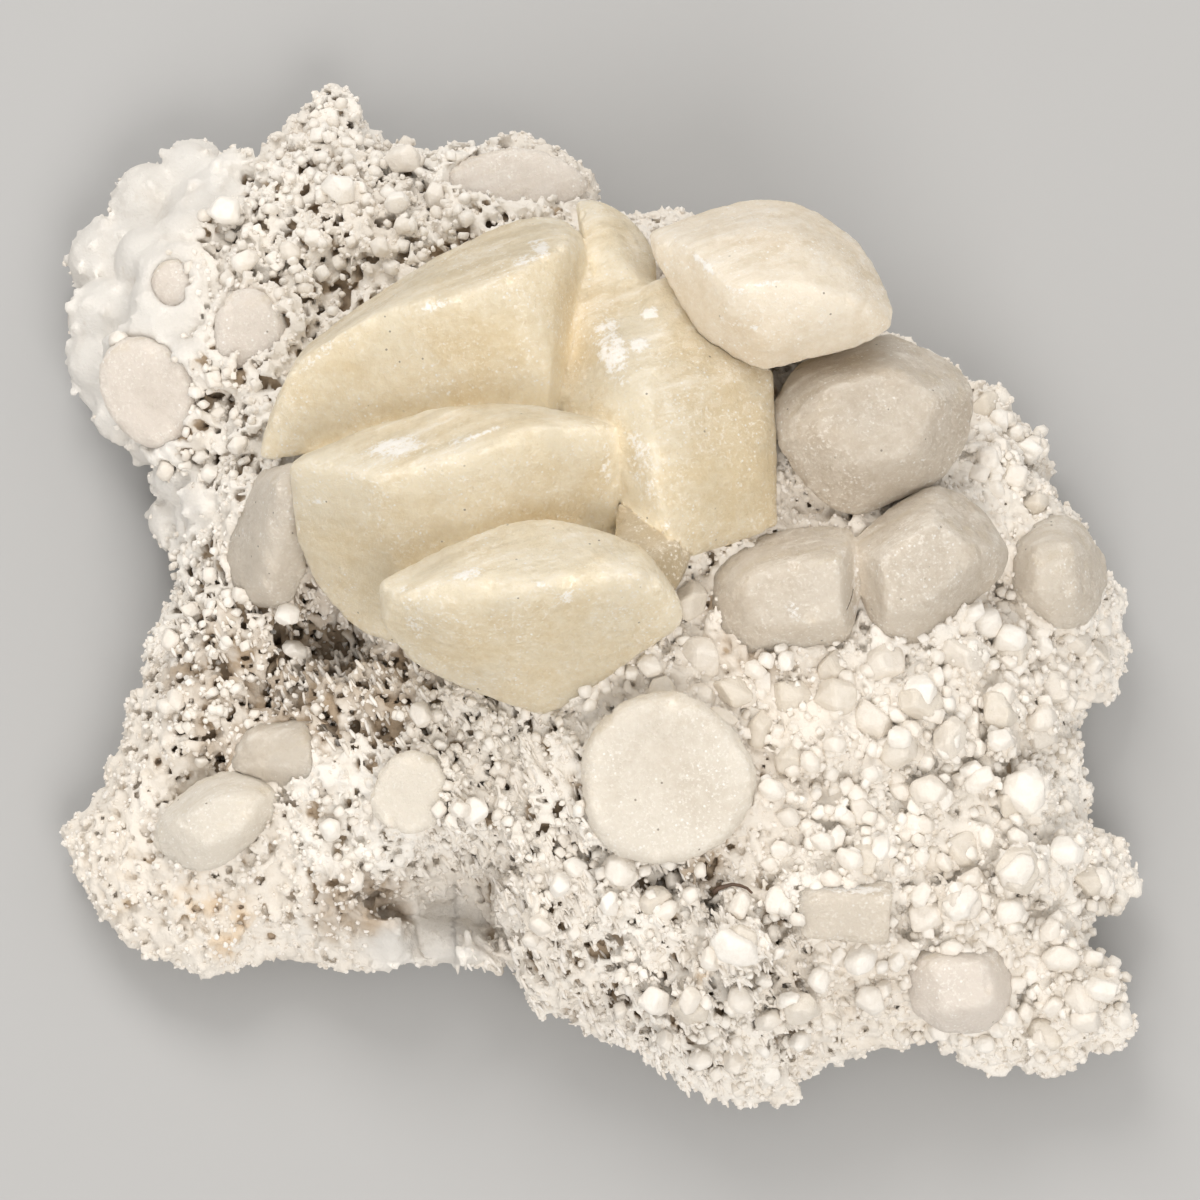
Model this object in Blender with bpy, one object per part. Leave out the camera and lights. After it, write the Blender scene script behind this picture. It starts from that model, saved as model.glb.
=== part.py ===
"""Honey calcite crystals on a pale, porous, druse-covered matrix.

The specimen lies on its broken back with its crystals up. Units are metres, +Z is up, +X is the
right of the display side and +Y its top. The origin is on the resting face, below the middle of
the specimen's box.

Most places are read on the display side and written as (across, down, height): across and down
in tenths of a millimetre on a plane that faces the viewer, height in millimetres over the resting
face. Function spot turns such a place into a point.
"""

import math
import random

import bmesh
import bpy
import numpy as np
from mathutils import Matrix, Vector, geometry, noise

MM = 0.001

# Display plane: it leans back by LEAN from level, and is seen from VIEW_DISTANCE
LEAN = math.radians(15)
VIEW_DISTANCE = 1.2
PLANE_HEIGHT = 22 * MM
PLANE_MIDDLE = (600, 600)
PLANE_UNIT = 0.1 * MM

RIGHT = Vector((1, 0, 0))
UP = Vector((0, math.cos(LEAN), math.sin(LEAN)))
TOWARDS = Vector((0, -math.sin(LEAN), math.cos(LEAN)))

# Matrix: spacing of its surface points, its rim and its resting face
POINT_STEP = 3.1 * MM
RIM_STEP = 2.6 * MM
UNDERSIDE_STEP = 9 * MM
RIM_SHARE = 0.5
RIM_WIDTH = 6.5 * MM
RIM_WALL = 1.2 * MM
UNDERCUT = 4.5 * MM
LUMP_HEIGHT = 1.5 * MM
LUMP_SIZE = 5.5 * MM
GRIT_HEIGHT = 0.9 * MM
GRIT_SIZE = 2.2 * MM

# Gap kept between a crystal and the pocket it sits in
POCKET_GAP = 0.45 * MM

# Outline of the matrix as (across, down)
OUTLINE = [
    (333, 95), (352, 112), (379, 137), (389, 150), (407, 137), (431, 156), (442, 146), (480, 146),
    (514, 135), (537, 139), (560, 155), (583, 166), (596, 180), (598, 198), (614, 212), (621, 221),
    (652, 210), (671, 204), (690, 214), (715, 226), (760, 222), (810, 232), (845, 262), (866, 296),
    (880, 330), (916, 348), (947, 359), (966, 378), (973, 392), (996, 392), (1012, 426), (1035, 432),
    (1048, 451), (1048, 470), (1042, 485), (1052, 489), (1050, 501), (1065, 510), (1086, 530),
    (1103, 560), (1109, 577), (1119, 589), (1121, 610), (1119, 629), (1127, 652), (1115, 675),
    (1113, 696), (1086, 696), (1084, 713), (1073, 728), (1079, 747), (1077, 767), (1090, 793),
    (1079, 820), (1092, 830), (1111, 834), (1130, 855), (1139, 874), (1130, 897), (1111, 908),
    (1100, 906), (1090, 920), (1084, 950), (1100, 958), (1115, 973), (1130, 996), (1137, 1019),
    (1130, 1038), (1111, 1046), (1092, 1046), (1077, 1059), (1054, 1074), (1038, 1067), (1000, 1065),
    (962, 1054), (947, 1042), (933, 1031), (904, 1043), (878, 1046), (843, 1057), (805, 1073),
    (790, 1077), (797, 1086), (792, 1098), (774, 1103), (728, 1096), (702, 1090), (675, 1073),
    (646, 1061), (644, 1046), (629, 1036), (603, 1034), (591, 1025), (549, 1015), (538, 1009),
    (515, 967), (509, 950), (495, 956), (457, 975), (427, 960), (407, 962), (386, 971), (358, 965),
    (323, 962), (312, 956), (258, 958), (231, 971), (201, 974), (151, 956), (117, 929), (90, 895),
    (74, 860), (61, 833), (73, 816), (105, 791), (111, 765), (122, 726), (125, 696), (143, 684),
    (144, 669), (159, 661), (156, 635), (161, 616), (172, 597), (177, 574), (174, 539), (157, 501),
    (151, 470), (153, 451), (128, 432), (99, 419), (78, 394), (69, 371), (65, 352), (90, 333),
    (79, 310), (80, 289), (95, 268), (99, 245), (111, 229), (132, 197), (157, 178), (178, 166),
    (214, 152), (231, 155), (239, 165), (262, 161), (275, 137), (304, 111),
]

# Heights of the matrix, as (across, down, height)
GROUND = [
    (333, 110, 13), (220, 175, 14), (300, 180, 16.5), (400, 160, 14), (450, 190, 17.5),
    (520, 150, 13), (590, 190, 14), (350, 240, 20), (300, 280, 21), (420, 230, 21),
    (240, 230, 17.5), (150, 200, 13), (110, 260, 11.5), (90, 350, 11.5), (150, 300, 15),
    (230, 350, 18.5), (270, 400, 22), (110, 400, 12.5), (170, 430, 15), (220, 450, 18.5),
    (200, 540, 18.5), (165, 500, 13), (250, 500, 22), (300, 560, 22), (200, 620, 18.5),
    (250, 650, 18.5), (330, 640, 18.5), (180, 600, 15), (150, 680, 13), (200, 720, 16.5),
    (270, 700, 17.5), (340, 700, 22.5), (400, 720, 25.5), (450, 740, 26), (130, 760, 12.5),
    (180, 790, 14), (250, 810, 16.5), (330, 780, 22), (330, 860, 18.5), (400, 850, 22.5),
    (480, 850, 24.5), (200, 900, 13), (110, 860, 11.5), (90, 830, 10.5), (280, 920, 12.5),
    (430, 800, 24.5), (560, 760, 28.5), (520, 900, 23.5), (560, 980, 19.5), (600, 1010, 16),
    (650, 900, 25.5), (640, 980, 21), (700, 1000, 21), (760, 1050, 17.5), (770, 1090, 13),
    (720, 1080, 13), (760, 900, 25.5), (760, 800, 28), (850, 850, 25.5), (850, 960, 22),
    (840, 1040, 15), (900, 1020, 16), (930, 1020, 14), (960, 960, 17.5), (1000, 1050, 13),
    (1060, 1060, 11.5), (1110, 1020, 12.5), (1060, 980, 15), (1110, 870, 12.5), (1050, 880, 17.5),
    (1000, 820, 21), (1060, 800, 16), (1080, 720, 14), (1000, 700, 22.5), (1050, 650, 17.5),
    (1100, 650, 13), (930, 700, 26), (850, 700, 28), (780, 700, 28.5), (720, 680, 28.5),
    (650, 680, 29.5), (930, 620, 26), (1030, 500, 17.5), (1035, 460, 14), (990, 440, 17.5),
    (950, 480, 22.5), (985, 405, 15), (1000, 480, 20), (800, 520, 27), (700, 570, 29.5),
    (650, 600, 29.5), (500, 600, 28), (450, 500, 26), (600, 300, 24.5), (700, 300, 24.5),
    (800, 300, 20), (850, 330, 17.5), (750, 250, 16.5), (650, 230, 16.5), (680, 215, 13),
    (600, 230, 18.5),
]

# Hollows, as (across, down, radius, depth), radius and depth in millimetres
HOLLOWS = [
    (315, 635, 3.6, 6.0), (345, 640, 2.6, 4.0), (272, 688, 2.6, 5.0), (200, 768, 2.2, 4.0),
    (170, 790, 2.0, 3.5), (232, 742, 2.0, 4.0), (150, 805, 1.6, 2.5), (265, 855, 2.4, 3.0),
    (300, 822, 1.8, 3.5), (362, 852, 1.5, 2.6), (370, 735, 2.0, 3.0), (455, 752, 1.8, 3.5),
    (500, 805, 1.6, 3.5), (515, 872, 2.2, 3.5), (560, 730, 1.6, 2.6), (600, 850, 2.0, 3.2),
    (660, 895, 1.8, 3.0), (622, 930, 1.7, 2.6), (620, 990, 1.6, 2.6), (715, 995, 1.6, 3.0),
    (765, 965, 1.8, 3.0), (700, 925, 1.8, 2.6), (790, 935, 1.8, 3.0), (760, 738, 2.4, 3.5),
    (822, 695, 1.8, 3.0), (872, 735, 1.6, 2.6), (830, 660, 1.4, 2.4), (1070, 630, 1.8, 3.0),
    (1020, 830, 1.6, 2.4), (1030, 990, 1.8, 3.0), (1020, 960, 1.6, 2.0), (240, 215, 1.4, 2.4),
    (330, 260, 1.6, 3.0), (380, 225, 1.4, 2.6), (425, 205, 1.6, 3.0), (475, 180, 1.6, 2.4),
    (330, 302, 1.6, 3.0), (270, 300, 1.4, 2.6), (205, 395, 1.4, 2.6), (250, 388, 1.6, 2.6),
    (215, 455, 1.8, 3.2), (190, 375, 1.4, 2.2), (230, 600, 1.4, 2.2), (315, 140, 1.6, 2.0),
    (345, 150, 1.4, 2.0), (140, 885, 1.4, 2.0), (175, 905, 1.4, 2.0), (250, 790, 1.4, 2.0),
    (450, 905, 1.8, 1.5), (845, 515, 1.2, 2.4), (805, 522, 1.6, 3.0), (1000, 590, 1.2, 2.2),
]

# Recess under the broken ledge at the lower left, and the height of its floor
RECESS = [
    (352, 925), (395, 905), (405, 884), (440, 880), (500, 888), (506, 948), (470, 968), (400, 955),
]
RECESS_FLOOR = 6 * MM
RECESS_BLEND = 1.2 * MM

# Small crystals of the druse that stand out, as (across, down, radius in millimetres)
DRUSE = [
    (315, 238, 1.5), (290, 252, 1.5), (380, 247, 1.4), (397, 203, 1.5), (405, 226, 1.3),
    (340, 190, 2.2), (225, 210, 1.8), (245, 262, 1.7), (435, 195, 1.5), (405, 160, 1.9),
    (238, 445, 1.3), (288, 615, 1.3), (295, 650, 1.3), (420, 715, 1.7), (500, 770, 1.4),
    (475, 810, 1.6), (460, 810, 1.3), (585, 690, 1.3), (650, 665, 1.6), (600, 680, 1.3),
    (760, 690, 1.5), (920, 692, 2.0), (810, 762, 1.5), (835, 745, 1.3), (822, 842, 1.4),
    (870, 775, 1.3), (900, 790, 1.4), (930, 790, 2.0), (980, 780, 1.8), (1025, 790, 2.6),
    (840, 812, 1.3), (850, 860, 1.6), (880, 850, 1.4), (900, 740, 1.5), (950, 745, 1.9),
    (1040, 720, 2.0), (1000, 740, 1.5), (1060, 690, 1.6), (1010, 640, 2.2), (985, 625, 1.8),
    (925, 915, 2.0), (920, 895, 1.6), (1015, 870, 2.6), (970, 880, 1.6), (960, 905, 2.2),
    (1065, 850, 1.9), (1100, 880, 1.9), (1010, 910, 2.0), (1050, 930, 1.6), (1100, 990, 2.0),
    (1085, 1020, 1.8), (1050, 1040, 1.5), (1060, 960, 1.9), (985, 1045, 1.4), (940, 1030, 1.4),
    (870, 1000, 1.8), (860, 960, 2.0), (820, 980, 1.6), (830, 1020, 1.5), (790, 1000, 1.5),
    (780, 900, 1.9), (740, 905, 1.6), (735, 948, 2.6), (710, 960, 1.4), (690, 895, 1.3),
    (665, 912, 1.5), (700, 870, 1.3), (620, 870, 2.0), (575, 868, 1.5), (560, 885, 1.5),
    (540, 925, 1.4), (575, 930, 1.3), (610, 905, 1.3), (655, 1000, 1.9), (690, 1000, 1.8),
    (740, 1000, 1.8), (770, 1020, 1.5), (800, 1040, 1.4), (735, 1060, 1.5), (770, 1075, 1.3),
    (700, 1060, 1.4), (665, 1040, 1.3), (620, 1010, 1.3), (780, 850, 1.3), (770, 790, 1.6),
    (330, 830, 1.4), (355, 880, 1.4), (1030, 450, 1.4), (1000, 420, 1.5), (990, 460, 1.7),
    (1015, 475, 1.4), (170, 640, 1.3), (175, 700, 1.4), (210, 575, 1.3), (190, 610, 1.3),
    (165, 470, 1.4), (120, 340, 1.3), (902, 950, 1.7),
]
DRUSE_DEPTH = 0.25
BLUNT_OVER = 1.35
RHOMB_SQUASH = 0.75

# Thin blades of the lower slope: area, number, size in millimetres, and run down to the right
BLADE_AREA = [
    (430, 705), (560, 715), (600, 870), (700, 880), (780, 950), (760, 1010), (640, 1010),
    (540, 960), (505, 850), (440, 780),
]
BLADE_COUNT = 20
BLADE_SIZE = (3.6, 1.0, 0.9)
BLADE_RISE = 0.3 * MM
BLADE_RUN = math.radians(-62)

# Honey crystals grown through each other. Each is the hull of the corners listed
HONEY_UPPER = [
    (262, 455, 28), (265, 425, 28), (283, 385, 29), (300, 352, 29), (340, 318, 29), (385, 290, 29),
    (420, 266, 29), (480, 232, 29), (510, 221, 29), (540, 216, 29), (565, 220, 29), (580, 232, 30),
    (590, 258, 30), (583, 300, 31), (294, 366, 34.5), (350, 329, 37.5), (383, 311, 39),
    (450, 302, 40.5), (520, 272, 40), (565, 246, 37), (270, 460, 28), (330, 450, 29.5),
    (420, 415, 32), (548, 412, 33), (548, 372, 37), (566, 348, 34), (562, 412, 31), (290, 440, 16),
    (330, 360, 16), (430, 300, 17), (560, 250, 17), (560, 400, 18),
]
HONEY_MIDDLE = [
    (300, 458, 33), (345, 440, 36), (380, 423, 37), (420, 411, 37.5), (470, 405, 38),
    (520, 405, 38.5), (560, 413, 38.5), (600, 420, 38.5), (616, 428, 38.5), (290, 465, 36),
    (320, 464, 38.5), (345, 471, 40), (375, 478, 41.5), (440, 463, 43), (480, 452, 43.5),
    (530, 429, 43.5), (600, 428, 40.5), (618, 440, 38), (619, 500, 33), (616, 535, 31),
    (292, 500, 34), (297, 532, 31), (307, 530, 32), (305, 560, 28), (320, 590, 26), (345, 618, 25),
    (365, 632, 25), (400, 645, 26), (500, 640, 28), (310, 480, 16), (380, 600, 15), (600, 430, 18),
    (600, 540, 16),
]
HONEY_FRONT = [
    (380, 580, 41), (395, 570, 40.5), (420, 559, 41), (450, 545, 41), (480, 532, 41),
    (520, 520, 40.5), (550, 518, 40.5), (590, 527, 40.5), (620, 538, 40), (645, 550, 40),
    (662, 570, 39), (675, 590, 39), (683, 612, 37), (396, 598, 44), (415, 591, 45),
    (450, 581, 46), (490, 583, 46.3), (530, 592, 46.3), (585, 579, 46), (640, 576, 44),
    (678, 628, 36), (660, 641, 35), (620, 660, 34), (590, 682, 32), (570, 703, 30), (540, 713, 29),
    (500, 703, 30), (460, 687, 31.5), (430, 673, 33), (410, 660, 34), (403, 645, 36),
    (385, 625, 38.5), (430, 601, 45), (455, 640, 40.5), (420, 600, 20), (560, 685, 20),
    (650, 620, 20), (640, 560, 20),
]
HONEY_BACK_LEFT = [
    (560, 300, 30), (552, 400, 31), (578, 262, 29), (640, 275, 30), (660, 300, 33), (652, 380, 39.5),
    (646, 402, 40), (660, 480, 40), (667, 530, 38), (605, 345, 37), (600, 410, 37), (617, 500, 33),
    (640, 520, 35), (570, 300, 17), (570, 400, 17), (650, 290, 18), (655, 520, 18),
]
HONEY_BACK_RIGHT = [
    (640, 290, 33), (668, 275, 33), (735, 340, 33), (773, 372, 33), (774, 440, 32), (777, 500, 31),
    (778, 525, 30), (735, 542, 31.5), (690, 555, 33), (667, 535, 37.5), (660, 480, 39.5),
    (648, 400, 39.5), (652, 378, 39), (700, 380, 38), (755, 460, 35), (660, 300, 18), (765, 380, 18),
    (765, 510, 18), (680, 540, 18),
]
HONEY_TIP = [
    (576, 204, 25), (590, 200, 25), (614, 207, 25), (640, 230, 26), (655, 262, 27), (655, 300, 31),
    (640, 290, 32), (600, 300, 31), (592, 258, 31), (612, 240, 30.5), (585, 212, 16), (640, 240, 17),
    (640, 300, 18), (590, 300, 18),
]
HONEY_WEDGE = [
    (620, 503, 34), (641, 521, 36), (668, 538, 36.5), (691, 554, 35), (680, 580, 34),
    (671, 594, 35), (640, 575, 38), (617, 545, 37), (640, 560, 20), (680, 570, 20),
]
CREAM_UPPER_RIGHT = [
    (651, 234, 34), (665, 224, 34), (700, 213, 33.5), (740, 201, 33), (765, 198, 33), (790, 200, 33),
    (812, 207, 33), (832, 222, 33.5), (857, 241, 34), (872, 262, 34.5), (885, 290, 35.5),
    (894, 308, 36), (892, 325, 36), (880, 331, 36), (860, 345, 36), (830, 353, 36), (800, 361, 36),
    (770, 369, 36), (750, 365, 36), (735, 356, 36), (700, 336, 35.5), (688, 315, 35.5),
    (671, 290, 35.5), (659, 268, 35), (652, 250, 35), (690, 246, 40), (712, 270, 42),
    (735, 287, 43.5), (762, 283, 44), (805, 286, 43.5), (855, 304, 41), (740, 228, 39.5),
    (800, 232, 40), (845, 262, 39.5), (720, 320, 40), (770, 345, 40), (710, 245, 16),
    (835, 255, 16), (845, 325, 18), (750, 340, 20),
]
PALE_RIGHT = [
    (800, 363, 30), (830, 353, 29.5), (870, 341, 28.5), (888, 332, 28), (908, 341, 28),
    (933, 352, 28), (952, 362, 28), (967, 378, 28), (974, 396, 28), (973, 420, 28), (966, 445, 27.5),
    (952, 465, 27), (940, 482, 26.5), (915, 492, 26.5), (880, 509, 27), (860, 516, 27),
    (830, 507, 28), (810, 491, 29), (790, 467, 30), (775, 441, 31), (772, 411, 31), (781, 389, 31),
    (832, 384, 35), (895, 372, 34.5), (935, 400, 34), (915, 450, 33.5), (862, 462, 34),
    (815, 428, 35), (810, 390, 14), (930, 380, 14), (930, 460, 14), (850, 490, 14),
]
PALE_PAIR_LEFT = [
    (714, 576, 29.5), (730, 555, 29.5), (750, 541, 29), (775, 531, 28.5), (810, 526, 28),
    (850, 528, 28), (858, 545, 29), (860, 600, 28.5), (848, 640, 27.5), (800, 657, 27),
    (740, 661, 27.5), (720, 640, 28), (712, 612, 29), (752, 572, 34), (840, 558, 34.5),
    (840, 618, 33), (765, 625, 33), (735, 590, 33), (730, 570, 15), (840, 550, 15), (840, 630, 15),
    (750, 650, 15),
]
PALE_PAIR_RIGHT = [
    (854, 545, 29), (875, 520, 28.5), (900, 500, 28), (935, 485, 27.5), (962, 494, 27),
    (987, 514, 26.5), (1009, 550, 26), (1001, 576, 26), (970, 602, 26), (940, 632, 26),
    (910, 647, 26.5), (880, 637, 27), (860, 600, 28), (882, 560, 33.5), (932, 522, 33.5),
    (978, 550, 31.5), (932, 598, 32), (890, 610, 32), (880, 540, 14), (960, 510, 14), (980, 570, 14),
    (900, 630, 14),
]
PALE_RIM = [
    (1012, 545, 18.5), (1030, 526, 18), (1055, 513, 17.5), (1080, 521, 16.5), (1095, 541, 16),
    (1107, 560, 15.5), (1108, 587, 15.5), (1086, 625, 16.5), (1060, 629, 18.5), (1040, 612, 19.5),
    (1014, 600, 20.5), (1009, 567, 19.5), (1035, 548, 23.5), (1072, 545, 22.5), (1078, 590, 22),
    (1040, 590, 24), (1035, 555, 8), (1062, 552, 8), (1065, 590, 8), (1040, 596, 8),
]
PALE_LEFT = [
    (300, 462, 30), (262, 472, 25), (235, 520, 21), (226, 560, 19), (240, 602, 18), (285, 612, 20),
    (306, 566, 25), (297, 532, 29), (293, 500, 32), (276, 486, 31), (262, 540, 27.5), (268, 580, 25),
    (280, 490, 12), (245, 560, 9), (285, 590, 10),
]
CLEAR_LEFT = [
    (232, 770, 15.5), (243, 742, 15.5), (255, 726, 15.5), (290, 721, 17), (321, 724, 18),
    (327, 748, 19), (330, 780, 19), (296, 790, 18), (255, 735, 18.5), (300, 735, 21), (312, 768, 21.5),
    (265, 762, 19.5), (250, 740, 5), (315, 735, 5), (315, 775, 5), (245, 770, 5),
]
LENS_LEFT = [
    (162, 842, 14), (168, 820, 14.5), (190, 795, 15), (215, 781, 15.5), (245, 779, 16),
    (272, 792, 17), (276, 800, 17), (262, 822, 17), (246, 838, 16.5), (225, 856, 16), (205, 863, 15.5),
    (180, 858, 14.5), (190, 822, 18.5), (222, 800, 20), (252, 800, 20), (240, 824, 20), (205, 842, 18.5),
    (190, 820, 5), (250, 795, 5), (230, 845, 5),
]
CLEAVED = [
    (794, 878, 24), (892, 881, 24), (795, 893, 27.5), (891, 897, 27.5), (801, 936, 25.5),
    (889, 946, 25.5), (800, 884, 15.5), (888, 886, 15.5), (804, 930, 15.5), (884, 938, 15.5),
]
CLOUDY_LOWER_RIGHT = [
    (905, 965, 17), (925, 945, 17), (965, 938, 16.5), (1000, 948, 16), (1012, 975, 15.5),
    (1010, 1010, 14.5), (985, 1032, 14.5), (945, 1034, 15), (912, 1010, 16), (935, 965, 20.5),
    (985, 962, 20), (992, 1000, 19), (948, 1012, 19), (930, 960, 5), (990, 960, 5),
    (985, 1015, 5), (935, 1010, 5),
]

# Rounded tablets, as (across, down, height of the front, radius across, radius down, thickness,
# turn, lean to the right, lean to the top, number of sides), sizes in millimetres, angles in degrees
ROUND_FRONT = (667, 781, 33, 9.3, 9.15, 8.5, 10, 2, -3, 16)
OVAL_FRONT = (407, 795, 28.5, 4.5, 4.8, 5.5, -20, -8, -4, 14)
LENS_UPPER_LEFT = (245, 330, 22, 4.3, 4.9, 5.5, 5, -12, 2, 12)
LENS_RIM_LEFT = (146, 386, 17.5, 4.6, 7.0, 6.5, 32, -14, -4, 14)
LENS_SMALL_LEFT = (168, 285, 18, 3.0, 3.4, 4.5, 0, -14, 6, 10)
LENS_TOP = (518, 176, 17, 8.0, 3.9, 5.5, -3, 4, 16, 14)

# Colours as red, green and blue
WHITE_ROCK = (0.74, 0.69, 0.63)
HONEY = (0.72, 0.58, 0.36)
CREAM = (0.78, 0.68, 0.52)
PALE = (0.73, 0.66, 0.56)
CLOUDY = (0.76, 0.71, 0.64)


def spot(across, down, height):
    """The point seen at (across, down) on the display plane and height metres up."""
    right = (across - PLANE_MIDDLE[0]) * PLANE_UNIT
    up = (PLANE_MIDDLE[1] - down) * PLANE_UNIT
    nearer = (height - PLANE_HEIGHT - up * UP.z) / (TOWARDS.z - up * UP.z / VIEW_DISTANCE)
    shrink = 1 - nearer / VIEW_DISTANCE
    middle = Vector((0, 0, PLANE_HEIGHT))
    return middle + shrink * (right * RIGHT + up * UP) + nearer * TOWARDS


def spots(corners):
    return [spot(across, down, height * MM) for across, down, height in corners]


def material(name, colour, roughness, clear=0.0):
    made = bpy.data.materials.new(name)
    made.use_nodes = True
    shader = made.node_tree.nodes["Principled BSDF"]
    shader.inputs["Base Color"].default_value = (*colour, 1)
    shader.inputs["Roughness"].default_value = roughness
    shader.inputs["Metallic"].default_value = 0
    shader.inputs["IOR"].default_value = 1.55
    shader.inputs["Transmission Weight"].default_value = clear
    made.diffuse_color = (*colour, 1)
    return made


def add_object(name, mesh):
    made = bpy.data.objects.new(name, mesh)
    bpy.context.scene.collection.objects.link(made)
    return made


def mesh_from(name, body):
    """Writes the bmesh to a new mesh, with its faces pointing out, and frees it."""
    bmesh.ops.recalc_face_normals(body, faces=body.faces[:])
    mesh = bpy.data.meshes.new(name)
    body.to_mesh(mesh)
    body.free()
    return mesh


def hull_mesh(name, points, flat=math.radians(2.5)):
    """A closed crystal: the hull of its corners, with nearly level neighbours made one face."""
    body = bmesh.new()
    for point in points:
        body.verts.new(point)
    made = bmesh.ops.convex_hull(body, input=body.verts[:])
    spare = [g for g in made["geom_interior"] if isinstance(g, bmesh.types.BMVert)]
    bmesh.ops.delete(body, geom=spare, context="VERTS")
    bmesh.ops.dissolve_limit(
        body, angle_limit=flat, verts=body.verts[:], edges=body.edges[:]
    )
    bmesh.ops.triangulate(body, faces=body.faces[:])
    return mesh_from(name, body)


def tablet_points(place):
    """Corners of a thick rounded tablet with a bevelled rim and a smaller back."""
    across, down, height, wide, tall, thick, turn, lean_right, lean_top, sides = place
    front = spot(across, down, height * MM)
    facing = Matrix((RIGHT, UP, TOWARDS)).transposed()
    lean = Matrix.Rotation(math.radians(lean_right), 3, "Y")
    lean = lean @ Matrix.Rotation(-math.radians(lean_top), 3, "X")
    frame = facing @ lean @ Matrix.Rotation(math.radians(turn), 3, "Z")
    rings = ((0.0, 0.84), (0.3, 1.0), (1.0, 0.72))
    corners = []
    for depth, share in rings:
        for i in range(sides):
            angle = 2 * math.pi * i / sides
            rim = share * (1 + 0.03 * math.cos(3 * angle + 1) + 0.015 * math.cos(5 * angle))
            local = Vector((
                wide * rim * math.cos(angle) * MM,
                tall * rim * math.sin(angle) * MM,
                -thick * depth * MM,
            ))
            corners.append(front + frame @ local)
    return corners


def changed(item, kind, other=None, **settings):
    """Gives item a modifier with these settings and makes the result its mesh."""
    modifier = item.modifiers.new(kind.title(), kind)
    if other is not None:
        modifier.object = other
    for key, value in settings.items():
        setattr(modifier, key, value)
    depsgraph = bpy.context.evaluated_depsgraph_get()
    result = bpy.data.meshes.new_from_object(item.evaluated_get(depsgraph))
    item.modifiers.remove(modifier)
    item.data = result


def largest_body(item):
    """Keeps only the largest connected body of an item, so that no crumb floats free."""
    body = bmesh.new()
    body.from_mesh(item.data)
    bmesh.ops.remove_doubles(body, verts=body.verts[:], dist=0.000001)
    left = set(body.verts)
    groups = []
    while left:
        stack = [left.pop()]
        group = list(stack)
        while stack:
            for edge in stack.pop().link_edges:
                for vert in edge.verts:
                    if vert in left:
                        left.remove(vert)
                        stack.append(vert)
                        group.append(vert)
        groups.append(group)
    groups.sort(key=len, reverse=True)
    for group in groups[1:]:
        bmesh.ops.delete(body, geom=group, context="VERTS")
    bmesh.ops.triangulate(body, faces=body.faces[:])
    body.to_mesh(item.data)
    body.free()


def joined(name, meshes):
    """One solid from crystals that have grown through each other."""
    first = add_object(name, meshes[0])
    for mesh in meshes[1:]:
        other = add_object("guide", mesh)
        changed(first, "BOOLEAN", other, operation="UNION", solver="EXACT")
        bpy.data.objects.remove(other)
    largest_body(first)
    return first


def pocket(host, points):
    """Cuts a seat for the hull of points out of host, POCKET_GAP clear of it on all sides."""
    body = bmesh.new()
    body.from_mesh(hull_mesh("guide", points))
    moves = [vert.normal * vert.calc_shell_factor() * POCKET_GAP for vert in body.verts]
    wide = [vert.co + move for vert, move in zip(body.verts, moves)]
    body.free()
    cutter = add_object("guide", hull_mesh("guide", wide))
    changed(host, "BOOLEAN", cutter, operation="DIFFERENCE", solver="EXACT")
    bpy.data.objects.remove(cutter)


def rim_loop():
    """The matrix outline as points at rim height, with small seeded scallops between the corners."""
    rng = random.Random(5)
    loop = []
    count = len(OUTLINE)
    for i in range(count):
        start = OUTLINE[i]
        end = OUTLINE[(i + 1) % count]
        length = math.hypot(end[0] - start[0], end[1] - start[1]) * PLANE_UNIT
        steps = max(1, round(length / RIM_STEP))
        for k in range(steps):
            share = k / steps
            loose = 0 if k == 0 else rng.uniform(-3, 2)
            across = start[0] + (end[0] - start[0]) * share
            down = start[1] + (end[1] - start[1]) * share
            across += loose * (end[1] - start[1]) * PLANE_UNIT / length
            down -= loose * (end[0] - start[0]) * PLANE_UNIT / length
            rough = spot(across, down, 10 * MM)
            height = RIM_SHARE * control_height(rough.x, rough.y)
            loop.append(spot(across, down, height))
    return loop


CONTROL = np.array([tuple(spot(a, d, h * MM)) for a, d, h in GROUND])
HOLLOW_PLACES = [(spot(a, d, 18 * MM), r * MM, deep * MM) for a, d, r, deep in HOLLOWS]
RECESS_LOOP = [spot(a, d, RECESS_FLOOR) for a, d in RECESS]


def control_height(x, y):
    """Height blended from the control points, nearer ones counting more."""
    gap = np.hypot(CONTROL[:, 0] - x, CONTROL[:, 1] - y) + 1.5 * MM
    weight = gap**-3.5
    return float((weight * CONTROL[:, 2]).sum() / weight.sum())


def inside(x, y, loop):
    """True if (x, y) lies inside the closed loop."""
    odd = False
    for i, here in enumerate(loop):
        last = loop[i - 1]
        if (here.y > y) != (last.y > y):
            cross = (last.x - here.x) * (y - here.y) / (last.y - here.y) + here.x
            if x < cross:
                odd = not odd
    return odd


def distance_to(x, y, loop):
    """Distance from (x, y) to the nearest side of the closed loop."""
    point = Vector((x, y))
    least = 1.0
    for i, here in enumerate(loop):
        near, share = geometry.intersect_point_line(point, loop[i - 1].xy, here.xy)
        if share < 0:
            near = loop[i - 1].xy
        elif share > 1:
            near = here.xy
        least = min(least, (point - near).length)
    return least


def ease(share):
    """0 to 1, level at both ends."""
    share = min(1.0, max(0.0, share))
    return share * share * (3 - 2 * share)


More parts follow.
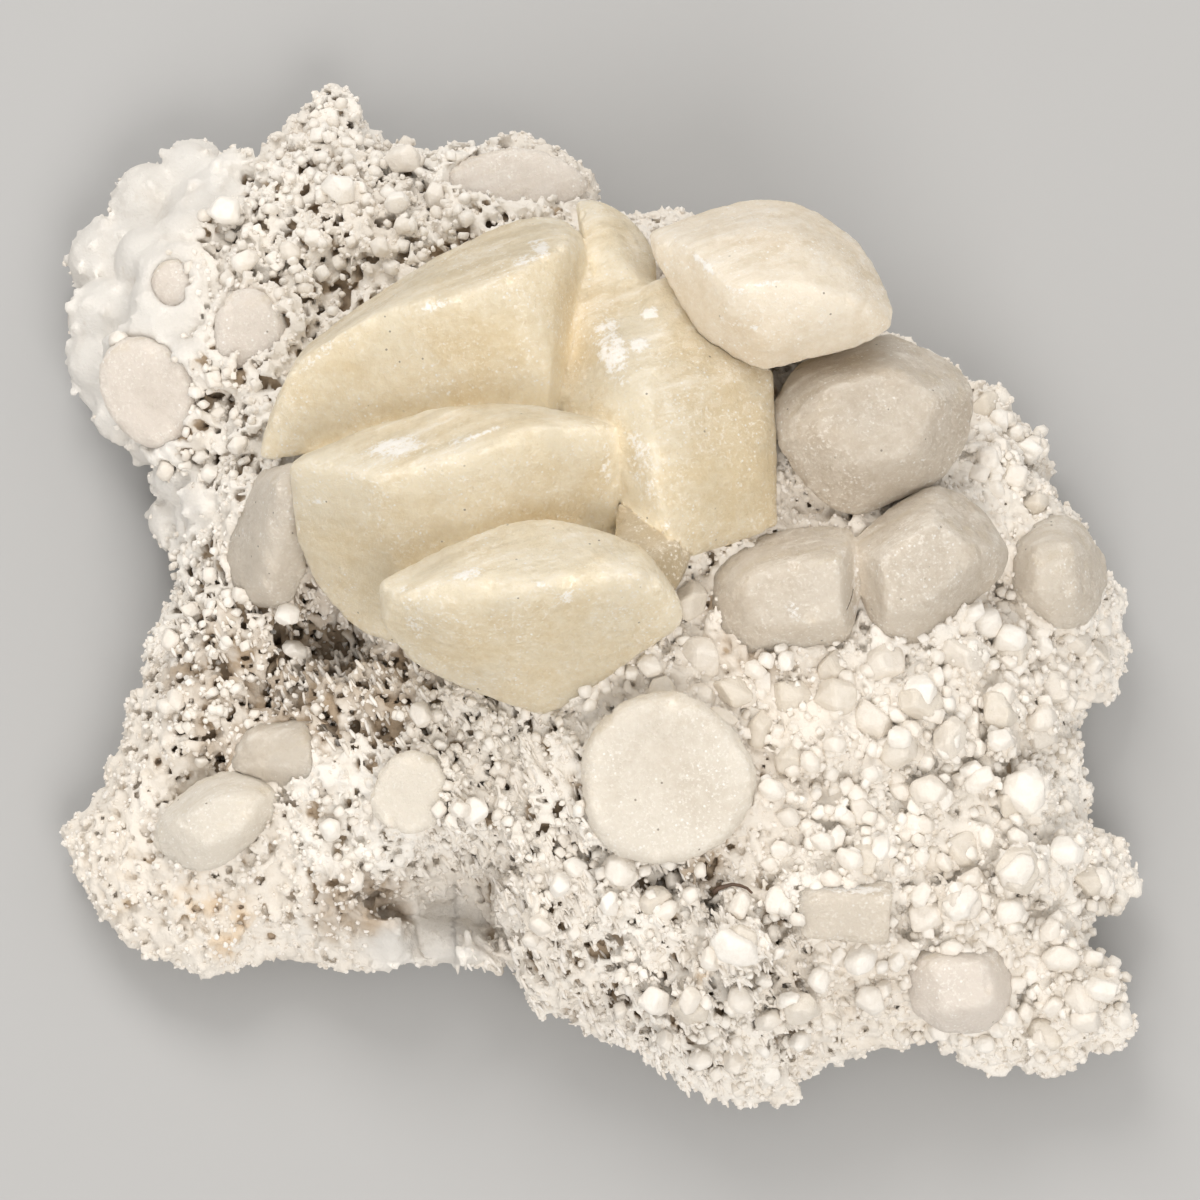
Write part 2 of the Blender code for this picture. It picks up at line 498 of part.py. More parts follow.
def ground(x, y, edge):
    """Height of the matrix surface at (x, y), edge metres in from its rim."""
    height = control_height(x, y)
    rim = RIM_SHARE * height
    rise = math.sqrt(ease(0.12 + 0.88 * edge / RIM_WIDTH))
    height = rim + (height - rim) * rise
    place = Vector((x / LUMP_SIZE, y / LUMP_SIZE, 3.1))
    height += LUMP_HEIGHT * noise.fractal(place, 1.0, 2.0, 2) * rise
    place = Vector((x / GRIT_SIZE, y / GRIT_SIZE, 7.7))
    height += GRIT_HEIGHT * noise.noise(place) * rise
    for centre, radius, depth in HOLLOW_PLACES:
        far = math.hypot(centre.x - x, centre.y - y) / radius
        if far < 1.6:
            height -= depth * (1 - ease(far / 1.6))
    if inside(x, y, RECESS_LOOP):
        share = ease(distance_to(x, y, RECESS_LOOP) / RECESS_BLEND)
        height += (RECESS_FLOOR - height) * share
    return max(height, 3 * MM)


def sheet(body, rim, step, clear, seed, height_at):
    """Adds a sheet of triangles with loose points about step apart. Returns its rim corners."""
    rng = random.Random(seed)
    points = [point.xy for point in rim]
    edges = [(i, (i + 1) % len(rim)) for i in range(len(rim))]
    left = min(point.x for point in rim)
    wide = max(point.x for point in rim) - left
    low = min(point.y for point in rim)
    tall = max(point.y for point in rim) - low
    for row in range(int(tall / (0.866 * step)) + 1):
        for column in range(int(wide / step) + 1):
            x = left + (column + 0.5 * (row % 2)) * step + rng.uniform(-0.28, 0.28) * step
            y = low + row * 0.866 * step + rng.uniform(-0.28, 0.28) * step
            if inside(x, y, rim) and distance_to(x, y, rim) > clear:
                points.append(Vector((x, y)))
    result = geometry.delaunay_2d_cdt(points, edges, [], 1, 1e-7)
    made = []
    corners = [None] * len(rim)
    for place, came_from in zip(result[0], result[3]):
        on_rim = [i for i in came_from if i < len(rim)]
        if on_rim:
            made.append(body.verts.new(rim[on_rim[0]]))
            corners[on_rim[0]] = made[-1]
        else:
            z = height_at(place.x, place.y, distance_to(place.x, place.y, rim))
            made.append(body.verts.new((place.x, place.y, z)))
    for face in result[2]:
        body.faces.new([made[i] for i in face])
    return corners


def matrix_mesh(rim):
    """The matrix: an uneven top sheet and a level underside, joined by a thin wall at the rim."""
    body = bmesh.new()
    top = sheet(body, rim, POINT_STEP, 0.8 * MM, 11, ground)
    low_rim = [point - Vector((0, 0, RIM_WALL)) for point in rim]
    low = sheet(body, low_rim, UNDERSIDE_STEP, UNDERCUT, 12, lambda x, y, edge: 0.0)
    for i in range(len(rim)):
        body.faces.new((top[i - 1], top[i], low[i], low[i - 1]))
    bmesh.ops.triangulate(body, faces=body.faces[:])
    return mesh_from("matrix", body)


def small_crystal(centre, size, turn, sides):
    """One small calcite crystal, squashed along its diagonal: a rhomb, or with blunt corners."""
    body = bmesh.new()
    if sides > 6:
        bmesh.ops.create_icosphere(body, subdivisions=1, radius=1)
    else:
        bmesh.ops.create_cube(body, size=1.3)
    squash = Matrix.Scale(RHOMB_SQUASH, 4, Vector((1, 1, 1)).normalized())
    sized = Matrix.Diagonal((*size, 1))
    place = Matrix.Translation(centre) @ turn.to_4x4() @ sized @ squash
    bmesh.ops.transform(body, matrix=place, verts=body.verts)
    return mesh_from("guide", body)


def druse_meshes(rim):
    """The small crystals and blades that stand out of the matrix, one mesh each."""
    rng = random.Random(21)
    made = []
    for across, down, radius in DRUSE:
        at = spot(across, down, 16 * MM)
        edge = distance_to(at.x, at.y, rim)
        at = spot(across, down, ground(at.x, at.y, edge) + DRUSE_DEPTH * radius * MM)
        turn = Matrix.Rotation(rng.uniform(0, 6.28), 3, "Z")
        turn = turn @ Matrix.Rotation(rng.uniform(0.4, 1.1), 3, "X")
        turn = turn @ Matrix.Rotation(rng.uniform(0, 6.28), 3, "Z")
        sides = 20 if radius > BLUNT_OVER else 6
        made.append(small_crystal(at, [radius * MM] * 3, turn, sides))
    area = [spot(across, down, 20 * MM) for across, down in BLADE_AREA]
    blades = 0
    while blades < BLADE_COUNT:
        across = rng.uniform(430, 790)
        down = rng.uniform(700, 1020)
        at = spot(across, down, 20 * MM)
        if not inside(at.x, at.y, area):
            continue
        edge = distance_to(at.x, at.y, rim)
        at = spot(across, down, ground(at.x, at.y, edge) + BLADE_RISE)
        turn = Matrix.Rotation(BLADE_RUN + rng.uniform(-0.15, 0.15), 3, "Z")
        turn = turn @ Matrix.Rotation(rng.uniform(-0.5, -0.1), 3, "Y")
        size = [side * rng.uniform(0.75, 1.15) * MM for side in BLADE_SIZE]
        made.append(small_crystal(at, size, turn, 6))
        blades += 1
    return made


def crystals():
    """Name, corner lists and material of each crystal, the ones in front first."""
    honey = material("honey_calcite", HONEY, 0.3, 0.35)
    cream = material("cream_calcite", CREAM, 0.4, 0.25)
    pale = material("pale_calcite", PALE, 0.4, 0.25)
    cloudy = material("cloudy_calcite", CLOUDY, 0.5, 0.15)
    grown_together = [
        spots(HONEY_FRONT), spots(HONEY_MIDDLE), spots(HONEY_UPPER), spots(HONEY_BACK_LEFT),
        spots(HONEY_BACK_RIGHT), spots(HONEY_TIP), spots(HONEY_WEDGE),
    ]
    return [
        ("cream_crystal_upper_right", [spots(CREAM_UPPER_RIGHT)], cream),
        ("pale_pair_right", [spots(PALE_PAIR_LEFT), spots(PALE_PAIR_RIGHT)], pale),
        ("pale_crystal_right", [spots(PALE_RIGHT)], pale),
        ("honey_cluster", grown_together, honey),
        ("pale_crystal_rim", [spots(PALE_RIM)], pale),
        ("pale_crystal_left", [spots(PALE_LEFT)], pale),
        ("round_crystal_front", [tablet_points(ROUND_FRONT)], cream),
        ("oval_crystal_front", [tablet_points(OVAL_FRONT)], cream),
        ("lens_crystal_left", [spots(LENS_LEFT)], cream),
        ("clear_crystal_left", [spots(CLEAR_LEFT)], pale),
        ("cleaved_crystal", [spots(CLEAVED)], pale),
        ("cloudy_crystal_lower_right", [spots(CLOUDY_LOWER_RIGHT)], cloudy),
        ("lens_crystal_upper_left", [tablet_points(LENS_UPPER_LEFT)], cloudy),
        ("lens_crystal_rim_left", [tablet_points(LENS_RIM_LEFT)], cloudy),
        ("lens_crystal_small_left", [tablet_points(LENS_SMALL_LEFT)], cloudy),
        ("lens_crystal_top", [tablet_points(LENS_TOP)], cloudy),
    ]


def build():
    for item in list(bpy.data.objects):
        bpy.data.objects.remove(item)

    rim = rim_loop()
    matrix = add_object("matrix", matrix_mesh(rim))
    for mesh in druse_meshes(rim):
        crystal = add_object("guide", mesh)
        changed(matrix, "BOOLEAN", crystal, operation="UNION", solver="EXACT")
        bpy.data.objects.remove(crystal)

    placed = []
    in_front = []
    for name, bodies, look in crystals():
        crystal = joined(name, [hull_mesh(name, points) for points in bodies])
        for points in in_front:
            if boxes_meet(crystal, points):
                pocket(crystal, points)
        largest_body(crystal)
        crystal.data.materials.clear()
        crystal.data.materials.append(look)
        placed.append(crystal)
        in_front.extend(bodies)
    for points in in_front:
        pocket(matrix, points)
    largest_body(matrix)
    matrix.data.materials.clear()
    matrix.data.materials.append(material("white_matrix", WHITE_ROCK, 0.9))
    placed.append(matrix)
    centre_on_origin(placed)


def boxes_meet(item, points):
    """True if the box of item comes within POCKET_GAP of the box of the points."""
    corners = [vert.co for vert in item.data.vertices]
    for axis in range(3):
        low = min(co[axis] for co in corners) - 2 * POCKET_GAP
        high = max(co[axis] for co in corners) + 2 * POCKET_GAP
        if min(p[axis] for p in points) > high or max(p[axis] for p in points) < low:
            return False
    return True


def centre_on_origin(items):
    """Moves all meshes so that the middle of their box stands over the origin, with z from 0."""
    corners = np.array([tuple(vert.co) for item in items for vert in item.data.vertices])
    low = corners.min(axis=0)
    high = corners.max(axis=0)
    shift = Vector((-(low[0] + high[0]) / 2, -(low[1] + high[1]) / 2, -low[2]))
    for item in items:
        item.data.transform(Matrix.Translation(shift))


build()
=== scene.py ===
"""Honey calcite crystals on a white porous matrix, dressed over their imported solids.

Places on the display side are written as (across, down, height): across and down in tenths of a
millimetre on a plane that faces the camera, height in millimetres over the resting face.
"""

import math
import random

import bmesh
import bpy
import numpy as np
import openvdb
from mathutils import Matrix, Vector


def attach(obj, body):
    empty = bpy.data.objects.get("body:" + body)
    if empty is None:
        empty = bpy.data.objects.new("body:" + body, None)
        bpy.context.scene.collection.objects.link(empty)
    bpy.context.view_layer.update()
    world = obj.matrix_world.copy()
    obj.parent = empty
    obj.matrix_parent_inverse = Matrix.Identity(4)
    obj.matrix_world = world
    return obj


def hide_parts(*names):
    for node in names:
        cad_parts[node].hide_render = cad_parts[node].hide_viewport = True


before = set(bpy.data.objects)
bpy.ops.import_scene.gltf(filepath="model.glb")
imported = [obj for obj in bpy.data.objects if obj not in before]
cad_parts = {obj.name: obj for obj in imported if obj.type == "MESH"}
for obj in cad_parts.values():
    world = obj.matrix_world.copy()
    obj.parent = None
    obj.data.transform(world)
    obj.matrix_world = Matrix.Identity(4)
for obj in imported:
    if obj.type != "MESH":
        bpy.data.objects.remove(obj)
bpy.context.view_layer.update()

MM = 0.001

# Display plane and camera
LEAN = math.radians(15)
CAMERA_DISTANCE = 1.2
CAMERA_LENS = 360
PLANE_MIDDLE = (600, 600)
PLANE_UNIT = 0.1 * MM
PLANE_CENTRE = np.array((0.000129, -0.004822, 0.022))
RIGHT = np.array((1.0, 0.0, 0.0))
UP = np.array((0.0, math.cos(LEAN), math.sin(LEAN)))
TOWARDS = np.array((0.0, -math.sin(LEAN), math.cos(LEAN)))

# Grid spacing of the carved surfaces, and the rounding of crystal edges
ROCK_STEP = 0.43 * MM
CRYSTAL_STEP = 0.42 * MM
EDGE_ROUNDING = 0.2 * MM
SOFT_EDGE = 1.3 * MM
SEAM = 0.16 * MM

# Honey crystals grown through each other. Each is the hull of the corners listed
HONEY_UPPER = [
    (262, 455, 28), (265, 425, 28), (283, 385, 29), (300, 352, 29), (340, 318, 29), (385, 290, 29),
    (420, 266, 29), (480, 232, 29), (510, 221, 29), (540, 216, 29), (565, 220, 29), (580, 232, 30),
    (590, 258, 30), (583, 300, 31), (294, 366, 34.5), (350, 329, 37.5), (383, 311, 39),
    (450, 302, 40.5), (520, 272, 40), (565, 246, 37), (270, 460, 28), (330, 450, 29.5),
    (420, 415, 32), (548, 412, 33), (548, 372, 37), (566, 348, 34), (562, 412, 31), (290, 440, 16),
    (330, 360, 16), (430, 300, 17), (560, 250, 17), (560, 400, 18),
]
HONEY_MIDDLE = [
    (300, 458, 33), (345, 440, 36), (380, 423, 37), (420, 411, 37.5), (470, 405, 38),
    (520, 405, 38.5), (560, 413, 38.5), (600, 420, 38.5), (616, 428, 38.5), (290, 465, 36),
    (320, 464, 38.5), (345, 471, 40), (375, 478, 41.5), (440, 463, 43), (480, 452, 43.5),
    (530, 429, 43.5), (600, 428, 40.5), (618, 440, 38), (619, 500, 33), (616, 535, 31),
    (292, 500, 34), (297, 532, 31), (307, 530, 32), (305, 560, 28), (320, 590, 26), (345, 618, 25),
    (365, 632, 25), (400, 645, 26), (500, 640, 28), (310, 480, 16), (380, 600, 15), (600, 430, 18),
    (600, 540, 16),
]
HONEY_FRONT = [
    (380, 580, 41), (395, 570, 40.5), (420, 559, 41), (450, 545, 41), (480, 532, 41),
    (520, 520, 40.5), (550, 518, 40.5), (590, 527, 40.5), (620, 538, 40), (645, 550, 40),
    (662, 570, 39), (675, 590, 39), (683, 612, 37), (396, 598, 44), (415, 591, 45),
    (450, 581, 46), (490, 583, 46.3), (530, 592, 46.3), (585, 579, 46), (640, 576, 44),
    (678, 628, 36), (660, 641, 35), (620, 660, 34), (590, 682, 32), (570, 703, 30), (540, 713, 29),
    (500, 703, 30), (460, 687, 31.5), (430, 673, 33), (410, 660, 34), (403, 645, 36),
    (385, 625, 38.5), (430, 601, 45), (455, 640, 40.5), (420, 600, 20), (560, 685, 20),
    (650, 620, 20), (640, 560, 20),
]
HONEY_BACK_LEFT = [
    (560, 300, 30), (552, 400, 31), (578, 262, 29), (640, 275, 30), (660, 300, 33), (652, 380, 39.5),
    (646, 402, 40), (660, 480, 40), (667, 530, 38), (605, 345, 37), (600, 410, 37), (617, 500, 33),
    (640, 520, 35), (570, 300, 17), (570, 400, 17), (650, 290, 18), (655, 520, 18),
]
HONEY_BACK_RIGHT = [
    (640, 290, 33), (668, 275, 33), (735, 340, 33), (773, 372, 33), (774, 440, 32), (777, 500, 31),
    (778, 525, 30), (735, 542, 31.5), (690, 555, 33), (667, 535, 37.5), (660, 480, 39.5),
    (648, 400, 39.5), (652, 378, 39), (700, 380, 38), (755, 460, 35), (660, 300, 18), (765, 380, 18),
    (765, 510, 18), (680, 540, 18),
]
HONEY_TIP = [
    (576, 204, 25), (590, 200, 25), (614, 207, 25), (640, 230, 26), (655, 262, 27), (655, 300, 31),
    (640, 290, 32), (600, 300, 31), (592, 258, 31), (612, 240, 30.5), (585, 212, 16), (640, 240, 17),
    (640, 300, 18), (590, 300, 18),
]
HONEY_WEDGE = [
    (620, 503, 34), (641, 521, 36), (668, 538, 36.5), (691, 554, 35), (680, 580, 34),
    (671, 594, 35), (640, 575, 38), (617, 545, 37), (640, 560, 20), (680, 570, 20),
]
CREAM_UPPER_RIGHT = [
    (651, 234, 34), (665, 224, 34), (700, 213, 33.5), (740, 201, 33), (765, 198, 33), (790, 200, 33),
    (812, 207, 33), (832, 222, 33.5), (857, 241, 34), (872, 262, 34.5), (885, 290, 35.5),
    (894, 308, 36), (892, 325, 36), (880, 331, 36), (860, 345, 36), (830, 353, 36), (800, 361, 36),
    (770, 369, 36), (750, 365, 36), (735, 356, 36), (700, 336, 35.5), (688, 315, 35.5),
    (671, 290, 35.5), (659, 268, 35), (652, 250, 35), (690, 246, 40), (712, 270, 42),
    (735, 287, 43.5), (762, 283, 44), (805, 286, 43.5), (855, 304, 41), (740, 228, 39.5),
    (800, 232, 40), (845, 262, 39.5), (720, 320, 40), (770, 345, 40), (710, 245, 16),
    (835, 255, 16), (845, 325, 18), (750, 340, 20),
]
PALE_RIGHT = [
    (800, 363, 30), (830, 353, 29.5), (870, 341, 28.5), (888, 332, 28), (908, 341, 28),
    (933, 352, 28), (952, 362, 28), (967, 378, 28), (974, 396, 28), (973, 420, 28), (966, 445, 27.5),
    (952, 465, 27), (940, 482, 26.5), (915, 492, 26.5), (880, 509, 27), (860, 516, 27),
    (830, 507, 28), (810, 491, 29), (790, 467, 30), (775, 441, 31), (772, 411, 31), (781, 389, 31),
    (832, 384, 35), (895, 372, 34.5), (935, 400, 34), (915, 450, 33.5), (862, 462, 34),
    (815, 428, 35), (810, 390, 14), (930, 380, 14), (930, 460, 14), (850, 490, 14),
]
PALE_PAIR_LEFT = [
    (714, 576, 29.5), (730, 555, 29.5), (750, 541, 29), (775, 531, 28.5), (810, 526, 28),
    (850, 528, 28), (858, 545, 29), (860, 600, 28.5), (848, 640, 27.5), (800, 657, 27),
    (740, 661, 27.5), (720, 640, 28), (712, 612, 29), (752, 572, 34), (840, 558, 34.5),
    (840, 618, 33), (765, 625, 33), (735, 590, 33), (730, 570, 15), (840, 550, 15), (840, 630, 15),
    (750, 650, 15),
]
PALE_PAIR_RIGHT = [
    (854, 545, 29), (875, 520, 28.5), (900, 500, 28), (935, 485, 27.5), (962, 494, 27),
    (987, 514, 26.5), (1009, 550, 26), (1001, 576, 26), (970, 602, 26), (940, 632, 26),
    (910, 647, 26.5), (880, 637, 27), (860, 600, 28), (882, 560, 33.5), (932, 522, 33.5),
    (978, 550, 31.5), (932, 598, 32), (890, 610, 32), (880, 540, 14), (960, 510, 14), (980, 570, 14),
    (900, 630, 14),
]
PALE_RIM = [
    (1012, 545, 18.5), (1030, 526, 18), (1055, 513, 17.5), (1080, 521, 16.5), (1095, 541, 16),
    (1107, 560, 15.5), (1108, 587, 15.5), (1086, 625, 16.5), (1060, 629, 18.5), (1040, 612, 19.5),
    (1014, 600, 20.5), (1009, 567, 19.5), (1035, 548, 23.5), (1072, 545, 22.5), (1078, 590, 22),
    (1040, 590, 24), (1035, 555, 8), (1062, 552, 8), (1065, 590, 8), (1040, 596, 8),
]
PALE_LEFT = [
    (300, 462, 30), (262, 472, 25), (235, 520, 21), (226, 560, 19), (240, 602, 18), (285, 612, 20),
    (306, 566, 25), (297, 532, 29), (293, 500, 32), (276, 486, 31), (262, 540, 27.5), (268, 580, 25),
    (280, 490, 12), (245, 560, 9), (285, 590, 10),
]
CLEAR_LEFT = [
    (232, 770, 15.5), (243, 742, 15.5), (255, 726, 15.5), (290, 721, 17), (321, 724, 18),
    (327, 748, 19), (330, 780, 19), (296, 790, 18), (255, 735, 18.5), (300, 735, 21), (312, 768, 21.5),
    (265, 762, 19.5), (250, 740, 5), (315, 735, 5), (315, 775, 5), (245, 770, 5),
]
LENS_LEFT = [
    (162, 842, 14), (168, 820, 14.5), (190, 795, 15), (215, 781, 15.5), (245, 779, 16),
    (272, 792, 17), (276, 800, 17), (262, 822, 17), (246, 838, 16.5), (225, 856, 16), (205, 863, 15.5),
    (180, 858, 14.5), (190, 822, 18.5), (222, 800, 20), (252, 800, 20), (240, 824, 20), (205, 842, 18.5),
    (190, 820, 5), (250, 795, 5), (230, 845, 5),
]
CLEAVED = [
    (794, 878, 24), (892, 881, 24), (795, 893, 27.5), (891, 897, 27.5), (801, 936, 25.5),
    (889, 946, 25.5), (800, 884, 15.5), (888, 886, 15.5), (804, 930, 15.5), (884, 938, 15.5),
]
CLOUDY_LOWER_RIGHT = [
    (905, 965, 17), (925, 945, 17), (965, 938, 16.5), (1000, 948, 16), (1012, 975, 15.5),
    (1010, 1010, 14.5), (985, 1032, 14.5), (945, 1034, 15), (912, 1010, 16), (935, 965, 20.5),
    (985, 962, 20), (992, 1000, 19), (948, 1012, 19), (930, 960, 5), (990, 960, 5),
    (985, 1015, 5), (935, 1010, 5),
]

# Rounded tablets, as (across, down, height of the front, radius across, radius down, thickness,
# turn, lean to the right, lean to the top, number of sides), sizes in millimetres, angles in degrees
ROUND_FRONT = (667, 781, 33, 9.3, 9.15, 8.5, 10, 2, -3, 16)
OVAL_FRONT = (407, 795, 28.5, 4.5, 4.8, 5.5, -20, -8, -4, 14)
LENS_UPPER_LEFT = (245, 330, 22, 4.3, 4.9, 5.5, 5, -12, 2, 12)
LENS_RIM_LEFT = (143, 392, 17.7, 5.4, 6.4, 6.5, 32, -14, -4, 14)
LENS_SMALL_LEFT = (168, 285, 18, 3.0, 3.4, 4.5, 0, -14, 6, 10)
LENS_TOP = (518, 176, 17, 8.0, 3.9, 5.5, -3, 4, 16, 14)

# Small crystals of the druse that stand out, as (across, down, radius in millimetres)
DRUSE = [
    (315, 238, 1.5), (290, 252, 1.5), (380, 247, 1.4), (397, 203, 1.5), (405, 226, 1.3),
    (340, 190, 2.2), (225, 210, 1.8), (245, 262, 1.7), (435, 195, 1.5), (405, 160, 1.9),
    (238, 445, 1.3), (288, 615, 1.3), (295, 650, 1.3), (420, 715, 1.7), (500, 770, 1.4),
    (475, 810, 1.6), (460, 810, 1.3), (585, 690, 1.3), (650, 665, 1.6), (600, 680, 1.3),
    (760, 690, 1.5), (920, 692, 2.0), (810, 762, 1.5), (835, 745, 1.3), (822, 842, 1.4),
    (870, 775, 1.3), (900, 790, 1.4), (930, 790, 2.0), (980, 780, 1.8), (1025, 790, 2.6),
    (840, 812, 1.3), (850, 860, 1.6), (880, 850, 1.4), (900, 740, 1.5), (950, 745, 1.9),
    (1040, 720, 2.0), (1000, 740, 1.5), (1060, 690, 1.6), (1010, 640, 2.2), (985, 625, 1.8),
    (925, 915, 2.0), (920, 895, 1.6), (1015, 870, 2.6), (970, 880, 1.6), (960, 905, 2.2),
    (1065, 850, 1.9), (1100, 880, 1.9), (1010, 910, 2.0), (1050, 930, 1.6), (1100, 990, 2.0),
    (1085, 1020, 1.8), (1050, 1040, 1.5), (1060, 960, 1.9), (985, 1045, 1.4), (940, 1030, 1.4),
    (870, 1000, 1.8), (860, 960, 2.0), (820, 980, 1.6), (830, 1020, 1.5), (790, 1000, 1.5),
    (780, 900, 1.9), (740, 905, 1.6), (735, 948, 2.6), (710, 960, 1.4), (690, 895, 1.3),
    (665, 912, 1.5), (700, 870, 1.3), (620, 870, 2.0), (575, 868, 1.5), (560, 885, 1.5),
    (540, 925, 1.4), (575, 930, 1.3), (610, 905, 1.3), (655, 1000, 1.9), (690, 1000, 1.8),
    (740, 1000, 1.8), (770, 1020, 1.5), (800, 1040, 1.4), (735, 1060, 1.5), (770, 1075, 1.3),
    (700, 1060, 1.4), (665, 1040, 1.3), (620, 1010, 1.3), (780, 850, 1.3), (770, 790, 1.6),
    (330, 830, 1.4), (355, 880, 1.4), (1030, 450, 1.4), (1000, 420, 1.5), (990, 460, 1.7),
    (1015, 475, 1.4), (170, 640, 1.3), (175, 700, 1.4), (210, 575, 1.3), (190, 610, 1.3),
    (165, 470, 1.4), (120, 340, 1.3), (902, 950, 1.7),
    (676, 632, 1.0), (684, 641, 1.1), (693, 649, 0.9), (603, 660, 1.3), (615, 655, 1.4),
    (598, 672, 1.2), (607, 688, 1.0), (620, 668, 1.1), (590, 705, 1.2), (632, 672, 1.0),
]

# Kinds of ground on the matrix, as (across, down, radius)
GROUND_KINDS = {
    "smooth": [
        (110, 250, 70), (130, 320, 80), (95, 370, 60), (150, 210, 60), (185, 180, 55),
        (120, 405, 50), (150, 440, 40), (170, 500, 40), (450, 930, 45), (400, 940, 40),
    ],
    "lacy": [
        (240, 230, 70), (330, 260, 90), (420, 215, 80), (350, 170, 70), (260, 300, 70),
        (220, 400, 60), (200, 460, 60), (480, 180, 60), (300, 640, 60), (345, 640, 50),
        (270, 690, 60), (200, 770, 50), (230, 745, 50), (180, 560, 50), (330, 110, 40),
        (250, 660, 70), (220, 640, 60), (310, 700, 50), (380, 720, 50), (250, 800, 40),
    ],
    "blades": [
        (480, 760, 100), (560, 840, 110), (640, 930, 110), (720, 970, 90), (440, 720, 70),
        (600, 990, 80), (680, 1030, 70), (340, 690, 60), (540, 920, 90), (250, 620, 60),
    ],
    "blobby": [
        (830, 720, 90), (920, 760, 110), (1000, 700, 100), (1050, 650, 80), (1000, 850, 120),
        (1080, 900, 90), (950, 980, 110), (1060, 1000, 90), (850, 900, 90), (870, 820, 90),
        (1020, 450, 70), (720, 680, 60),
    ],
}

# Broad lobes, as (across, down, radius in millimetres, share of it sunk in the rock)
LOBES = [
    (112, 262, 4.6, 0.75), (150, 205, 4.4, 0.78), (192, 172, 3.4, 0.75), (232, 176, 2.8, 0.7),
    (110, 318, 4.4, 0.75), (150, 262, 4.0, 0.8), (98, 362, 3.2, 0.7), (120, 412, 3.0, 0.7),
    (172, 340, 2.8, 0.7), (185, 235, 2.8, 0.7), (152, 440, 2.6, 0.7), (333, 118, 3.0, 0.7),
    (178, 478, 2.6, 0.7), (170, 520, 2.8, 0.7), (205, 500, 2.6, 0.75), (190, 640, 2.2, 0.6),
    (165, 655, 1.8, 0.6), (700, 655, 2.4, 0.6), (735, 690, 2.2, 0.6), (690, 600, 2.2, 0.5),
    (880, 665, 2.8, 0.6), (920, 700, 2.4, 0.5), (870, 720, 2.2, 0.6), (960, 655, 2.6, 0.6),
    (1010, 650, 2.2, 0.5), (1000, 710, 2.2, 0.6), (1020, 795, 2.8, 0.55), (1018, 868, 2.8, 0.55),
    (960, 905, 2.4, 0.5), (920, 800, 2.2, 0.6), (740, 945, 2.8, 0.55), (1060, 760, 2.2, 0.6),
    (1080, 1000, 2.6, 0.6), (1045, 1035, 2.2, 0.6), (800, 1010, 2.2, 0.6), (1090, 880, 2.2, 0.6),
    (860, 810, 1.9, 0.5), (790, 760, 1.8, 0.5), (1050, 690, 2.0, 0.5), (985, 410, 2.4, 0.6),
    (1005, 470, 2.2, 0.5), (1035, 505, 2.0, 0.5),
]

# Thicker rock along the lower edge of the recess, as (start, end, radius in millimetres)
SILL = [
    ((350, 938, 5), (492, 940, 6), 2.5), ((410, 925, 4), (500, 925, 5), 2.8),
    ((300, 935, 5), (360, 940, 5), 2.2),
]

# Larger clear lumps of calcite in the druse: across, down, radius in millimetres, share sunk
LUMPS = [
    (700, 655, 2.7, 0.25), (735, 690, 2.4, 0.2), (690, 600, 2.5, 0.2), (880, 665, 3.2, 0.3),
    (920, 700, 2.9, 0.2), (870, 722, 2.7, 0.2), (960, 655, 3.1, 0.25), (1010, 650, 2.8, 0.2),
    (1000, 710, 2.6, 0.25), (1020, 795, 3.2, 0.2), (1018, 868, 3.1, 0.2), (960, 905, 2.8, 0.2),
    (920, 800, 2.5, 0.3), (740, 945, 3.1, 0.2), (1060, 760, 2.4, 0.3), (1080, 1000, 2.8, 0.3),
    (1045, 1035, 2.4, 0.3), (800, 1010, 2.5, 0.3), (1090, 880, 2.4, 0.3), (860, 810, 2.2, 0.2),
    (790, 760, 2.1, 0.2), (1050, 690, 2.3, 0.2), (985, 410, 2.5, 0.3), (1005, 470, 2.4, 0.2),
    (1035, 505, 2.1, 0.3), (835, 700, 2.9, 0.2), (790, 700, 2.6, 0.2), (760, 730, 2.3, 0.2),
    (900, 750, 2.6, 0.3), (950, 740, 2.6, 0.2), (985, 760, 2.3, 0.3), (830, 670, 2.6, 0.3),
    (1070, 640, 2.4, 0.3), (960, 850, 2.5, 0.3), (700, 700, 2.2, 0.3), (865, 860, 2.1, 0.2),
    (930, 860, 2.2, 0.2), (655, 900, 2.2, 0.3), (620, 872, 2.4, 0.2), (1040, 730, 2.6, 0.2),
    (660, 690, 2.0, 0.2), (720, 720, 2.1, 0.3), (1095, 655, 2.0, 0.3), (690, 1010, 2.2, 0.3),
]

# Courses of the rootlet and of the hair-fine thread, as (across, down)
ROOTLET = [(713, 892), (718, 888), (724, 886), (732, 884), (740, 885), (747, 888), (752, 893)]
HAIR = [(853, 589), (852, 595), (850, 602), (847, 609), (843, 615)]

# Painted shade: brown darkening on the rock where it lies in shadow, as (across, down, radius)
SHADE_SPOTS = [
    (250, 670, 70), (200, 690, 50), (320, 610, 50), (300, 690, 60), (380, 690, 50), (230, 740, 50),
    (300, 640, 60), (340, 900, 40), (380, 905, 35), (760, 640, 40), (700, 870, 30),
]

# Rust stains, as (across, down, radius)
RUST = [(224, 935, 22), (200, 902, 26), (244, 918, 18), (121, 893, 16), (705, 980, 10)]

